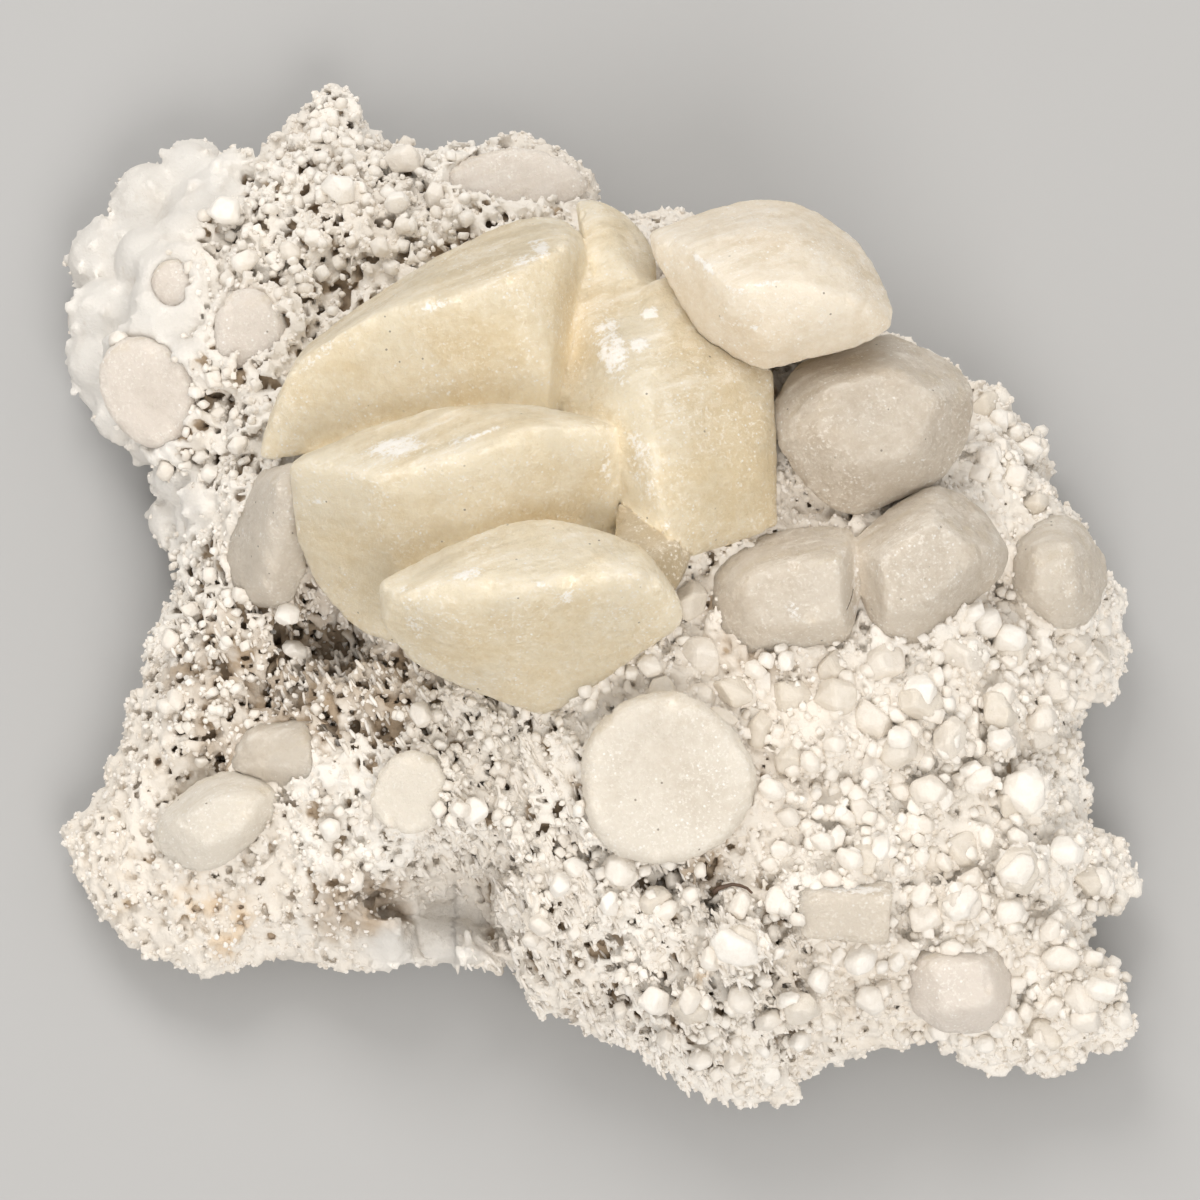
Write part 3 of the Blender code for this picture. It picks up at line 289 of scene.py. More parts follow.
# Fields of more small crystals: number, places as (across, down, radius), sizes in millimetres
DRUSE_FIELDS = [
    (1000, [
        (830, 720, 90), (920, 760, 110), (1000, 700, 100), (1040, 650, 70), (1000, 850, 120),
        (1060, 900, 80), (950, 980, 90), (1060, 1000, 70), (850, 900, 90), (870, 820, 90),
        (1010, 450, 40),
    ], 0.5, 1.5),
    (330, [(340, 220, 100), (420, 200, 60), (250, 250, 70), (210, 420, 60), (330, 150, 50)], 0.45, 1.25),
    (420, [(500, 780, 90), (600, 900, 100), (700, 950, 90), (750, 1030, 70), (450, 720, 60)], 0.4, 1.1),
    (220, [(200, 600, 60), (180, 680, 60), (250, 700, 80), (350, 830, 60)], 0.4, 1.0),
]

# Grains and rods stuck to the rock, then finer ones on each square metre of it
CRUMB_COUNT = 16000
GRAIN_DENSITY = 850000.0
BLADE_DENSITY = 420000.0
BLADE_RUN = math.radians(-62)

NODES = {
    "honey_cluster_dressed": "honey_cluster",
    "cream_crystal_dressed": "cream_crystal_upper_right",
    "pale_pair_dressed": "pale_pair_right",
    "pale_right_dressed": "pale_crystal_right",
    "pale_rim_dressed": "pale_crystal_rim",
    "pale_left_dressed": "pale_crystal_left",
    "round_crystal_dressed": "round_crystal_front",
    "oval_crystal_dressed": "oval_crystal_front",
    "lens_left_dressed": "lens_crystal_left",
    "clear_left_dressed": "clear_crystal_left",
    "cleaved_dressed": "cleaved_crystal",
    "cloudy_right_dressed": "cloudy_crystal_lower_right",
    "lens_upper_left_dressed": "lens_crystal_upper_left",
    "lens_rim_left_dressed": "lens_crystal_rim_left",
    "lens_small_left_dressed": "lens_crystal_small_left",
    "lens_top_dressed": "lens_crystal_top",
}

# White frosted streaks and patches, and one painted highlight on the middle honey crystal's top at (395, 447): across,
# down, half length, half width, slant in degrees, strength
PATCHES = {
    "honey_cluster_dressed": [
        (318, 355, 30, 7, -40, 0.9), (432, 305, 22, 6, -15, 0.9), (540, 248, 13, 9, 30, 1.3),
        # Painted highlight: the patch at (395, 447).
        (527, 258, 16, 7, -20, 1.0), (395, 447, 30, 10, -8, 1.2), (460, 440, 80, 4, -17, 0.8),
        (315, 500, 16, 5, 20, 0.9), (470, 574, 22, 6, -15, 1.0), (405, 590, 14, 5, -30, 0.9), (415, 618, 12, 26, -22, 0.55),
        (555, 592, 34, 5, 30, 0.8), (570, 590, 24, 5, -60, 0.8), (612, 350, 18, 42, -10, 1.1),
        (640, 345, 12, 8, 0, 1.1), (650, 313, 11, 8, 0, 1.3), (665, 527, 7, 7, 0, 1.0),
        (606, 470, 6, 50, 0, 0.7), (640, 460, 14, 50, -10, 0.7),
    ],
    "cream_crystal_dressed": [
        (704, 264, 22, 4, 42, 1.1), (735, 288, 14, 4, 10, 0.9), (765, 284, 20, 3, -8, 0.9),
        (800, 305, 8, 4, 0, 0.8), (755, 327, 8, 4, 20, 0.8),
    ],
    "pale_pair_dressed": [(795, 612, 14, 10, 60, 0.9), (856, 590, 5, 40, 0, 0.9)],
    "cleaved_dressed": [(846, 887, 48, 7, 8, 1.1)],
}


# Places


def spot(across, down, height):
    """The point seen at (across, down), height millimetres over the resting face."""
    right = (across - PLANE_MIDDLE[0]) * PLANE_UNIT
    up = (PLANE_MIDDLE[1] - down) * PLANE_UNIT
    rise = height * MM - PLANE_CENTRE[2] - up * UP[2]
    nearer = rise / (TOWARDS[2] - up * UP[2] / CAMERA_DISTANCE)
    shrink = 1 - nearer / CAMERA_DISTANCE
    return PLANE_CENTRE + shrink * (right * RIGHT + up * UP) + nearer * TOWARDS


def spots(corners):
    return [spot(across, down, height) for across, down, height in corners]


def seen(x, y, z):
    """Where points show on the display plane, as (across, down)."""
    x = x - PLANE_CENTRE[0]
    y = y - PLANE_CENTRE[1]
    z = z - PLANE_CENTRE[2]
    nearer = y * TOWARDS[1] + z * TOWARDS[2]
    grow = 1 / (1 - nearer / CAMERA_DISTANCE) / PLANE_UNIT
    across = PLANE_MIDDLE[0] + x * grow
    down = PLANE_MIDDLE[1] - (y * UP[1] + z * UP[2]) * grow
    return across, down


def ease(share):
    """0 to 1, level at both ends."""
    share = np.clip(share, 0, 1)
    return share * share * (3 - 2 * share)


def blobs(across, down, places):
    """Strength from 0 to 1 of soft round areas, each (across, down, radius)."""
    strength = np.zeros(np.broadcast(across, down).shape, np.float32)
    for a, d, radius in places:
        far = np.hypot(across - a, down - d) / radius
        strength = np.maximum(strength, 1 - ease(far - 0.5))
    return strength


# Camera, light and floor


def add_camera():
    data = bpy.data.cameras.new("camera")
    data.sensor_width = 36
    data.lens = CAMERA_LENS
    data.clip_start = 0.05
    data.clip_end = 20
    camera = bpy.data.objects.new("camera", data)
    bpy.context.scene.collection.objects.link(camera)
    back = Vector(TOWARDS)
    camera.location = Vector(PLANE_CENTRE) + back * CAMERA_DISTANCE
    camera.rotation_mode = "QUATERNION"
    camera.rotation_quaternion = (-back).to_track_quat("-Z", "Y")
    bpy.context.scene.camera = camera


def add_light(name, place, target, size, power, colour):
    data = bpy.data.lights.new(name, "AREA")
    data.shape = "DISK"
    data.size = size
    data.energy = power
    data.color = colour
    light = bpy.data.objects.new(name, data)
    bpy.context.scene.collection.objects.link(light)
    light.location = place
    light.rotation_mode = "QUATERNION"
    light.rotation_quaternion = (Vector(target) - Vector(place)).to_track_quat("-Z", "Y")


def add_studio():
    world = bpy.data.worlds.new("studio")
    world.use_nodes = True
    sky = world.node_tree.nodes["Background"]
    sky.inputs["Color"].default_value = (1.0, 0.975, 0.94, 1)
    sky.inputs["Strength"].default_value = 0.72
    bpy.context.scene.world = world
    bpy.context.scene.view_settings.view_transform = "Standard"
    add_light("light_top", (-0.15, 0.42, 0.6), (0, 0, 0.02), 0.4, 2.1, (1.0, 0.975, 0.94))
    add_light("light_front", (0.1, -0.5, 0.62), (0, 0, 0.02), 0.45, 2.6, (1.0, 0.975, 0.94))

    body = bmesh.new()
    bmesh.ops.create_grid(body, x_segments=8, y_segments=8, size=3)
    mesh = bpy.data.meshes.new("floor")
    body.to_mesh(mesh)
    body.free()
    floor = bpy.data.objects.new("floor", mesh)
    bpy.context.scene.collection.objects.link(floor)
    floor.location.z = -0.0002
    paint = bpy.data.materials.new("floor_paper")
    paint.use_nodes = True
    shader = paint.node_tree.nodes["Principled BSDF"]
    shader.inputs["Base Color"].default_value = (0.46, 0.46, 0.46, 1)
    shader.inputs["Roughness"].default_value = 0.9
    mesh.materials.append(paint)


# Grids of signed distance, negative inside


class Field:
    def __init__(self, low, high, step):
        self.step = step
        self.first = np.floor(np.array(low) / step).astype(int)
        last = np.ceil(np.array(high) / step).astype(int)
        self.shape = tuple(last - self.first + 1)
        self.values = np.full(self.shape, 6 * MM, np.float32)

    def window(self, low, high):
        """The slices between two corners, and the x, y and z of their cells."""
        start = np.floor(np.array(low) / self.step).astype(int) - self.first
        stop = np.ceil(np.array(high) / self.step).astype(int) - self.first + 1
        start = np.maximum(start, 0)
        stop = np.minimum(stop, self.shape)
        cut = tuple(slice(a, b) for a, b in zip(start, stop))
        x, y, z = [
            ((self.first[i] + np.arange(start[i], stop[i])) * self.step).astype(np.float32)
            for i in range(3)
        ]
        return cut, x[:, None, None], y[None, :, None], z[None, None, :]

    def everywhere(self):
        low = self.first * self.step
        return self.window(low, low + (np.array(self.shape) - 1) * self.step)

    def at(self, points):
        """Values at the cells nearest to points."""
        cell = np.rint(points / self.step).astype(int) - self.first
        cell = np.clip(cell, 0, np.array(self.shape) - 1)
        return self.values[cell[:, 0], cell[:, 1], cell[:, 2]]

    def surface(self):
        """Corner points and four-sided faces of the surface at 0, facing out."""
        grid = openvdb.FloatGrid(6 * MM)
        grid.copyFromArray(self.values, ijk=tuple(int(i) for i in self.first))
        grid.transform = openvdb.createLinearTransform(voxelSize=self.step)
        points, quads = grid.convertToQuads(isovalue=0)
        points = points.astype(np.float64)
        quads = quads.astype(np.int64)
        a, b, c, d = (points[quads[:, i]] for i in range(4))
        volume = np.einsum("ij,ij->i", a, np.cross(b - a, c - a) + np.cross(c - a, d - a)).sum()
        if volume < 0:
            quads = quads[:, ::-1]
        return points, quads


# Crystals


def hull_planes(points):
    """Outward normals and distances of the flat faces of the hull of points."""
    body = bmesh.new()
    for point in points:
        body.verts.new(Vector(point))
    bmesh.ops.convex_hull(body, input=body.verts[:])
    bmesh.ops.recalc_face_normals(body, faces=body.faces[:])
    faces = [face for face in body.faces if face.calc_area() > (0.4 * MM) ** 2]
    normals = np.array([tuple(face.normal) for face in faces], np.float32)
    middles = np.array([tuple(face.calc_center_median()) for face in faces], np.float32)
    body.free()
    return normals, np.einsum("ij,ij->i", normals, middles)


def ripples(rng, count, shortest, longest):
    """Random waves as (vectors, phases), their lengths in metres."""
    way = rng.standard_normal((count, 3))
    way /= np.linalg.norm(way, axis=1)[:, None]
    length = rng.uniform(shortest, longest, count)
    return (way * (2 * math.pi / length)[:, None]).astype(np.float32), rng.uniform(0, 6.28, count)


def rippled(points, waves):
    total = np.zeros(len(points), np.float32)
    for vector, phase in zip(*waves):
        total += np.sin(points @ vector + np.float32(phase))
    return total / math.sqrt(len(waves[1]))


class Crystal:
    """A crystal with flat faces, rounded and chipped edges and slightly wavy faces."""

    def __init__(self, corners, seed, rounding=EDGE_ROUNDING, wavy=0.08 * MM, chips=0.26 * MM, grow=0.22 * MM):
        self.corners = np.array(corners)
        self.low = self.corners.min(0)
        self.high = self.corners.max(0)
        self.normals, self.offsets = hull_planes(corners)
        self.rounding = rounding
        self.wavy = wavy
        self.chips = chips
        self.grow = grow
        rng = np.random.default_rng(seed)
        self.slow = ripples(rng, 7, 4.5 * MM, 13 * MM)
        self.quick = ripples(rng, 9, 1.2 * MM, 3.4 * MM)
        self.fine = ripples(rng, 8, 0.9 * MM, 2.0 * MM)

    def measure(self, points):
        """Signed distance of points, negative inside, and how close they are to an edge, 0 to 1."""
        away = points @ self.normals.T - self.offsets
        top = away.max(axis=1)
        away = np.exp(np.maximum(away - top[:, None], -10 * self.rounding) / self.rounding)
        total = away.sum(axis=1)
        value = top + self.rounding * np.log(total)
        slope = (away @ self.normals) / total[:, None]
        edge = ease((0.985 - (slope ** 2).sum(axis=1)) / 0.25)
        value += self.wavy * rippled(points, self.slow) - self.grow
        value += 0.034 * MM * rippled(points, self.fine) + 0.03 * MM * rippled(points, self.quick)
        value += self.chips * edge * np.maximum(rippled(points, self.quick) - 0.3, 0)
        return value, edge

    def thin(self, points):
        """How close points of the surface are to its outer edges, softly, 0 to 1, for a painted glow there."""
        away = points @ self.normals.T - self.offsets
        away = np.exp((away - away.max(axis=1)[:, None]) / SOFT_EDGE)
        slope = (away @ self.normals) / away.sum(axis=1)[:, None]
        return ease((0.97 - (slope ** 2).sum(axis=1)) / 0.5)


class Grown:
    """Crystals grown through each other, cut back from the ones in front of them."""

    def __init__(self, parts, in_front=(), gap=0.06 * MM, snug=1.2):
        self.parts = parts
        self.snug = snug
        self.low = np.min([part.low for part in parts], axis=0)
        self.high = np.max([part.high for part in parts], axis=0)
        self.gap = gap
        self.in_front = [
            other for other in in_front
            if (other.low < self.high + MM).all() and (other.high > self.low - MM).all()
        ]

    def measure(self, points):
        """Signed distance, edge closeness and the number of the nearest crystal."""
        best, edge = self.parts[0].measure(points)
        which = np.zeros(len(points), np.int32)
        for i, part in enumerate(self.parts[1:], 1):
            value, bend = part.measure(points)
            nearer = value < best
            edge = np.where(nearer, bend, edge) * ease(np.abs(value - best) / (0.5 * MM))
            least = np.minimum(value, best)
            gap = np.minimum(np.abs(value - best), 6 * SEAM) / SEAM
            best = least - SEAM * np.log1p(np.exp(-gap))
            which[nearer] = i
        for other in self.in_front:
            value = self.gap - other.measure(points)[0]
            edge = np.where(value > best, 0, edge)
            best = np.maximum(best, value)
        return best, edge, which

    def field(self, step):
        made = Field(self.low - 1.2 * MM, self.high + 1.2 * MM, step)
        cut, x, y, z = made.everywhere()
        points = np.stack([a.ravel() for a in np.broadcast_arrays(x, y, z)], axis=1)
        for start in range(0, len(points), 200000):
            part = points[start:start + 200000]
            made.values.reshape(-1)[start:start + 200000] = self.measure(part)[0]
        return made

    def settle(self, points):
        """Moves points onto the surface, and returns them with their normals."""
        nudge = 0.06 * MM
        for turn in range(4):
            value = self.measure(points)[0]
            slope = np.stack([
                self.measure(points + np.array(axis) * nudge)[0] - value
                for axis in ((1, 0, 0), (0, 1, 0), (0, 0, 1))
            ], axis=1) / nudge
            size = np.maximum((slope ** 2).sum(axis=1), 0.2)
            if turn < 3:
                move = -(value / size)[:, None] * slope
                points = points + np.clip(move, -0.2 * MM, 0.2 * MM)
        length = np.maximum(np.linalg.norm(slope, axis=1), 1e-6)
        return points, slope / length[:, None]


def mesh_from(name, points, faces, normals=None, **attributes):
    """A smooth mesh of four-sided faces with point attributes."""
    mesh = bpy.data.meshes.new(name)
    mesh.vertices.add(len(points))
    mesh.vertices.foreach_set("co", points.astype(np.float32).ravel())
    mesh.loops.add(faces.size)
    mesh.loops.foreach_set("vertex_index", faces.astype(np.int32).ravel())
    mesh.polygons.add(len(faces))
    mesh.polygons.foreach_set("loop_start", np.arange(0, faces.size, 4, dtype=np.int32))
    mesh.polygons.foreach_set("use_smooth", np.ones(len(faces), bool))
    mesh.update(calc_edges=True)
    for key, values in attributes.items():
        made = mesh.attributes.new(key, "FLOAT", "POINT")
        made.data.foreach_set("value", values.astype(np.float32))
    if normals is not None:
        mesh.normals_split_custom_set_from_vertices(normals.tolist())
    return mesh


def add_piece(name, mesh, paint, slot, *nodes):
    """A finished piece of the specimen that stands for the named solids."""
    mesh.materials.clear()
    mesh.materials.append(paint)
    piece = bpy.data.objects.new(name, mesh)
    bpy.context.scene.collection.objects.link(piece)
    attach(piece, "root")
    if nodes:
        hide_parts(*nodes)
    return piece


def tablet(place, seed):
    """A thick rounded tablet with a bevelled rim and a smaller back."""
    across, down, height, wide, tall, thick, turn, lean_right, lean_top, sides = place
    front = Vector(spot(across, down, height))
    facing = Matrix((RIGHT, UP, TOWARDS)).transposed()
    lean = Matrix.Rotation(math.radians(lean_right), 3, "Y")
    lean = lean @ Matrix.Rotation(-math.radians(lean_top), 3, "X")
    turned = facing @ lean @ Matrix.Rotation(math.radians(turn), 3, "Z")
    corners = []
    for depth, share in ((0.0, 0.84), (0.3, 1.0), (1.0, 0.72)):
        for i in range(sides):
            angle = 2 * math.pi * i / sides
            rim = share * (1 + 0.03 * math.cos(3 * angle + 1) + 0.015 * math.cos(5 * angle))
            local = Vector((wide * rim * math.cos(angle), tall * rim * math.sin(angle), -thick * depth))
            corners.append(front + turned @ (local * MM))
    return Crystal(corners, seed, rounding=0.36 * MM, wavy=0.1 * MM, chips=0.2 * MM)


def marks(across, down, places):
    """Soft slanted patches, each (across, down, half length, half width, angle, strength)."""
    total = np.zeros(len(across), np.float32)
    for a, d, long, wide, angle, strength in places:
        c = math.cos(math.radians(angle))
        s = math.sin(math.radians(angle))
        x = (across - a) * c + (down - d) * s
        y = (down - d) * c - (across - a) * s
        far = np.hypot(x / long, y / wide)
        total = np.maximum(total, strength * (1 - ease(far - 0.35)))
    return total


def add_crystal(name, grown, paint, slot, tones, step=CRYSTAL_STEP, patches=(), *nodes):
    """The finished mesh of one crystal or cluster, with its edges for painted highlights, where it is frosted, where
    painted glow lightens it near its outer edges, and how dark its tone is.
    """
    field = grown.field(step)
    points, faces = field.surface()
    points, normals = grown.settle(points)
    edge, which = grown.measure(points)[1:]
    across, down = seen(points[:, 0], points[:, 1], points[:, 2])
    frost = ease((normals @ UP - 0.02) / 0.5)
    tone = np.array(tones, np.float32)[which]
    thin = np.zeros(len(points), np.float32)
    for i, part in enumerate(grown.parts):
        mine = which == i
        thin[mine] = part.thin(points[mine])
    mesh = mesh_from(
        name, points, faces, normals,
        rim=edge, frost=frost, thin=thin, snow=marks(across, down, patches), tone=tone,
    )
    print(name, len(faces) * 2, "triangles")
    return add_piece(name, mesh, paint, slot, *nodes)


# Materials


def put(tree, kind, inputs=None, **settings):
    """Adds a shader node. Inputs are values or the outputs of other nodes."""
    node = tree.nodes.new(kind)
    for key, value in settings.items():
        setattr(node, key, value)
    for key, value in (inputs or {}).items():
        if isinstance(value, bpy.types.NodeSocket):
            tree.links.new(value, node.inputs[key])
        else:
            node.inputs[key].default_value = value
    return node


def mixed(tree, share, first, second, blend="MIX"):
    node = put(tree, "ShaderNodeMix", {0: share, 6: first, 7: second}, data_type="RGBA", blend_type=blend)
    return node.outputs[2]


def maths(tree, operation, first, second=0.0):
    return put(tree, "ShaderNodeMath", {0: first, 1: second}, operation=operation).outputs[0]


def ranged(tree, value, low, high, to_low=0.0, to_high=1.0):
    node = put(
        tree, "ShaderNodeMapRange",
        {"Value": value, "From Min": low, "From Max": high, "To Min": to_low, "To Max": to_high},
        interpolation_type="SMOOTHSTEP",
    )
    return node.outputs[0]


def noise(tree, place, scale, detail=3.0, roughness=0.55, distortion=0.0):
    node = put(
        tree, "ShaderNodeTexNoise",
        {"Vector": place, "Scale": scale, "Detail": detail, "Roughness": roughness,
         "Distortion": distortion},
    )
    return node.outputs["Fac"]


def attribute(tree, name):
    return put(tree, "ShaderNodeAttribute", attribute_name=name).outputs["Fac"]


def new_material(name):
    paint = bpy.data.materials.new(name)
    paint.use_nodes = True
    tree = paint.node_tree
    shader = tree.nodes["Principled BSDF"]
    place = put(tree, "ShaderNodeTexCoord").outputs["Object"]
    return paint, tree, shader, place


def calcite(name, deep, light, clear, glow, spread, roughness=0.5, slant=0.42):
    """Waxy, milky calcite: two tones, how much light passes, how far it spreads and in what colour. Its edges are
    painted lighter, as a painted highlight and a painted glow.
    """
    paint, tree, shader, place = new_material(name)
    drawn = put(
        tree, "ShaderNodeMapping",
        {"Vector": place, "Rotation": (0, 0, slant), "Scale": (7, 1, 1)}, vector_type="TEXTURE",
    ).outputs[0]
    cloud = noise(tree, place, 110, 3.0, distortion=0.8)
    veil = noise(tree, place, 380, 4.0, distortion=1.0)
    streak = noise(tree, drawn, 650, 5.0, 0.65)
    fine_grain = noise(tree, place, 2800, 3.0, 0.65)
    grain = noise(tree, place, 950, 6.0, 0.7)
    patchy = noise(tree, place, 170, 4.0, 0.6)
    frost = attribute(tree, "frost")
    thin = attribute(tree, "thin")

    share = maths(tree, "ADD", attribute(tree, "tone"), ranged(tree, cloud, 0.32, 0.68, -0.3, 0.3))
    # Painted glow: lighter near the outer edges, as if light shone through the thin crystal.
    share = maths(tree, "ADD", share, maths(tree, "MULTIPLY", thin, 0.55))
    share = maths(tree, "ADD", share, ranged(tree, veil, 0.35, 0.7, -0.12, 0.15))
    share = maths(tree, "ADD", share, ranged(tree, grain, 0.35, 0.65, -0.22, 0.22))
    colour = mixed(tree, share, (*deep, 1), (*light, 1))
    colour = mixed(tree, ranged(tree, attribute(tree, "tone"), -1.0, 0.0, 0.85, 0.0), colour, (0.42, 0.33, 0.21, 1))
    stained = maths(tree, "MULTIPLY", frost, ranged(tree, streak, 0.5, 0.36, 0.0, 0.3))
    colour = mixed(tree, stained, colour, (0.60, 0.49, 0.31, 1))
    line = maths(tree, "ABSOLUTE", maths(tree, "SUBTRACT", streak, 0.52))
    line = maths(tree, "MULTIPLY", ranged(tree, line, 0.02, 0.002), ranged(tree, patchy, 0.45, 0.58))
    veins = maths(tree, "MAXIMUM", ranged(tree, streak, 0.5, 0.72), line)
    frosted = maths(tree, "MULTIPLY", frost, maths(tree, "ADD", maths(tree, "MULTIPLY", veins, 0.5), 0.08))
    dust = maths(tree, "MULTIPLY", ranged(tree, fine_grain, 0.52, 0.66), ranged(tree, patchy, 0.35, 0.62, 0.15, 0.6))
    # Painted highlight: patches of the crystal edges painted pale.
    edge_highlight_share = ranged(tree, veil, 0.42, 0.6)
    rim = maths(tree, "MULTIPLY", maths(tree, "MULTIPLY", attribute(tree, "rim"), edge_highlight_share), ranged(tree, fine_grain, 0.42, 0.6, 0.05, 0.45))
    # Pale: white frost and dust, and the painted edge highlight.
    pale = maths(tree, "MAXIMUM", maths(tree, "MAXIMUM", frosted, dust), rim)
    colour = mixed(tree, pale, colour, (0.92, 0.88, 0.81, 1))
    # White frosted streaks, with the painted highlight from the listed patches.
    snow = maths(tree, "ADD", attribute(tree, "snow"), ranged(tree, fine_grain, 0.35, 0.65, -0.3, 0.3))
    snow = maths(tree, "ADD", snow, ranged(tree, streak, 0.4, 0.6, -0.3, 0.2))
    snow = maths(tree, "ADD", snow, ranged(tree, grain, 0.4, 0.6, -0.25, 0.1))
    snow = ranged(tree, snow, 0.35, 1.05)
    dot = put(tree, "ShaderNodeTexVoronoi", {"Vector": place, "Scale": 1300}, feature="F1").outputs["Distance"]
    dot = maths(tree, "MULTIPLY", ranged(tree, dot, 0.2, 0.12), ranged(tree, patchy, 0.42, 0.58))
    colour = mixed(tree, maths(tree, "MAXIMUM", maths(tree, "MULTIPLY", snow, 0.8), maths(tree, "MULTIPLY", dot, 0.7)), colour, (0.97, 0.95, 0.92, 1))
    speck = put(tree, "ShaderNodeTexVoronoi", {"Vector": place, "Scale": 560}, feature="F1").outputs["Distance"]
    speck = maths(tree, "MULTIPLY", ranged(tree, speck, 0.085, 0.05), ranged(tree, cloud, 0.5, 0.58))
    colour = mixed(tree, maths(tree, "MULTIPLY", speck, 0.7), colour, (0.16, 0.12, 0.08, 1))
    tree.links.new(colour, shader.inputs["Base Color"])

    rough = maths(tree, "ADD", ranged(tree, veil, 0.35, 0.7, roughness - 0.06, roughness + 0.08), maths(tree, "MULTIPLY", pale, 0.3))
    tree.links.new(rough, shader.inputs["Roughness"])
    if clear > 0:
        solid = maths(tree, "MAXIMUM", snow, maths(tree, "MULTIPLY", pale, 1.2))
        solid = maths(tree, "ADD", solid, ranged(tree, cloud, 0.35, 0.65, 0.4, 0.0))
        tree.links.new(ranged(tree, solid, 0.0, 1.0, clear, 0.0), shader.inputs["Transmission Weight"])
    shader.inputs["IOR"].default_value = 1.56
    shader.inputs["Specular IOR Level"].default_value = 0.35
    shader.subsurface_method = "BURLEY"
    shader.inputs["Subsurface Weight"].default_value = 1.0
    shader.inputs["Subsurface Radius"].default_value = spread
    shader.inputs["Subsurface Scale"].default_value = glow * MM
    relief = maths(tree, "ADD", maths(tree, "MULTIPLY", veil, 0.5), maths(tree, "MULTIPLY", fine_grain, 0.75))
    relief = maths(tree, "ADD", relief, grain)
    relief = maths(tree, "ADD", relief, maths(tree, "MULTIPLY", maths(tree, "MULTIPLY", streak, frost), 0.8))
    relief = maths(tree, "ADD", relief, maths(tree, "MULTIPLY", snow, 0.3))
    bump = put(tree, "ShaderNodeBump", {"Height": relief, "Strength": 0.9, "Distance": 0.28 * MM})
    tree.links.new(bump.outputs["Normal"], shader.inputs["Normal"])
    return paint


def white_rock():
    """Chalky white matrix with painted brown shade in its hollows and in listed spots, bluish where it is smooth, with
    a few rust stains.
    """
    paint, tree, shader, place = new_material("rock_white_porous")
    broad = noise(tree, place, 60, 3.0)
    grain = noise(tree, place, 1400, 4.0, 0.65)
    patch = noise(tree, place, 260, 3.0)
    colour = mixed(tree, ranged(tree, broad, 0.35, 0.65), (0.85, 0.79, 0.71, 1), (0.92, 0.88, 0.82, 1))
    colour = mixed(tree, maths(tree, "MULTIPLY", ranged(tree, patch, 0.45, 0.72), 0.35), colour, (0.72, 0.66, 0.58, 1))
    colour = mixed(tree, maths(tree, "MULTIPLY", attribute(tree, "smooth_lobe"), 0.75), colour, (0.70, 0.68, 0.65, 1))
    # Painted shade: the rock turns browner in its hollows and in the listed shade spots.
    hollow = maths(tree, "ADD", attribute(tree, "hollow"), maths(tree, "MULTIPLY", attribute(tree, "brown"), 0.42))
    hollow = maths(tree, "ADD", hollow, ranged(tree, patch, 0.35, 0.7, -0.12, 0.16))
    colour = mixed(tree, ranged(tree, hollow, 0.05, 0.7, 0.0, 0.95), colour, (0.42, 0.32, 0.22, 1))
    rust = maths(tree, "MULTIPLY", attribute(tree, "rust"), ranged(tree, patch, 0.42, 0.6))
    colour = mixed(tree, maths(tree, "MULTIPLY", rust, 0.5), colour, (0.72, 0.5, 0.27, 1))
    colour = mixed(tree, ranged(tree, grain, 0.6, 0.8, 0.0, 0.35), colour, (0.95, 0.93, 0.9, 1))
    tree.links.new(colour, shader.inputs["Base Color"])
    tree.links.new(ranged(tree, grain, 0.3, 0.7, 0.95, 0.7), shader.inputs["Roughness"])
    shader.subsurface_method = "BURLEY"
    tree.links.new(maths(tree, "MULTIPLY", attribute(tree, "smooth_lobe"), 0.8), shader.inputs["Subsurface Weight"])
    shader.inputs["Subsurface Radius"].default_value = (1.0, 0.98, 0.95)
    shader.inputs["Subsurface Scale"].default_value = 1.5 * MM
    shader.inputs["Specular IOR Level"].default_value = 0.35
    relief = maths(tree, "ADD", grain, maths(tree, "MULTIPLY", noise(tree, place, 3600, 2.0), 0.4))
    bump = put(tree, "ShaderNodeBump", {"Height": relief, "Strength": 0.75, "Distance": 0.3 * MM})
    tree.links.new(bump.outputs["Normal"], shader.inputs["Normal"])
    return paint


def druse_calcite(name, dark, bright, clear):
    """Small white to clear calcite grains, each with its own tint."""
    paint, tree, shader, place = new_material(name)
    grain = noise(tree, place, 1100, 5.0, 0.65)
    share = maths(tree, "ADD", attribute(tree, "tint"), ranged(tree, grain, 0.35, 0.65, -0.25, 0.25))
    colour = mixed(tree, share, (*dark, 1), (*bright, 1))
    tree.links.new(colour, shader.inputs["Base Color"])
    shader.inputs["Roughness"].default_value = 0.5
    shader.inputs["IOR"].default_value = 1.56
    shader.inputs["Specular IOR Level"].default_value = 0.4
    shader.inputs["Transmission Weight"].default_value = clear
    if clear > 0:
        shader.subsurface_method = "BURLEY"
        shader.inputs["Subsurface Weight"].default_value = 0.7
        shader.inputs["Subsurface Radius"].default_value = (1.0, 1.0, 1.0)
        shader.inputs["Subsurface Scale"].default_value = 0.6 * MM
    bump = put(tree, "ShaderNodeBump", {"Height": grain, "Strength": 0.8, "Distance": 0.3 * MM})
    tree.links.new(bump.outputs["Normal"], shader.inputs["Normal"])
    return paint


# Rock


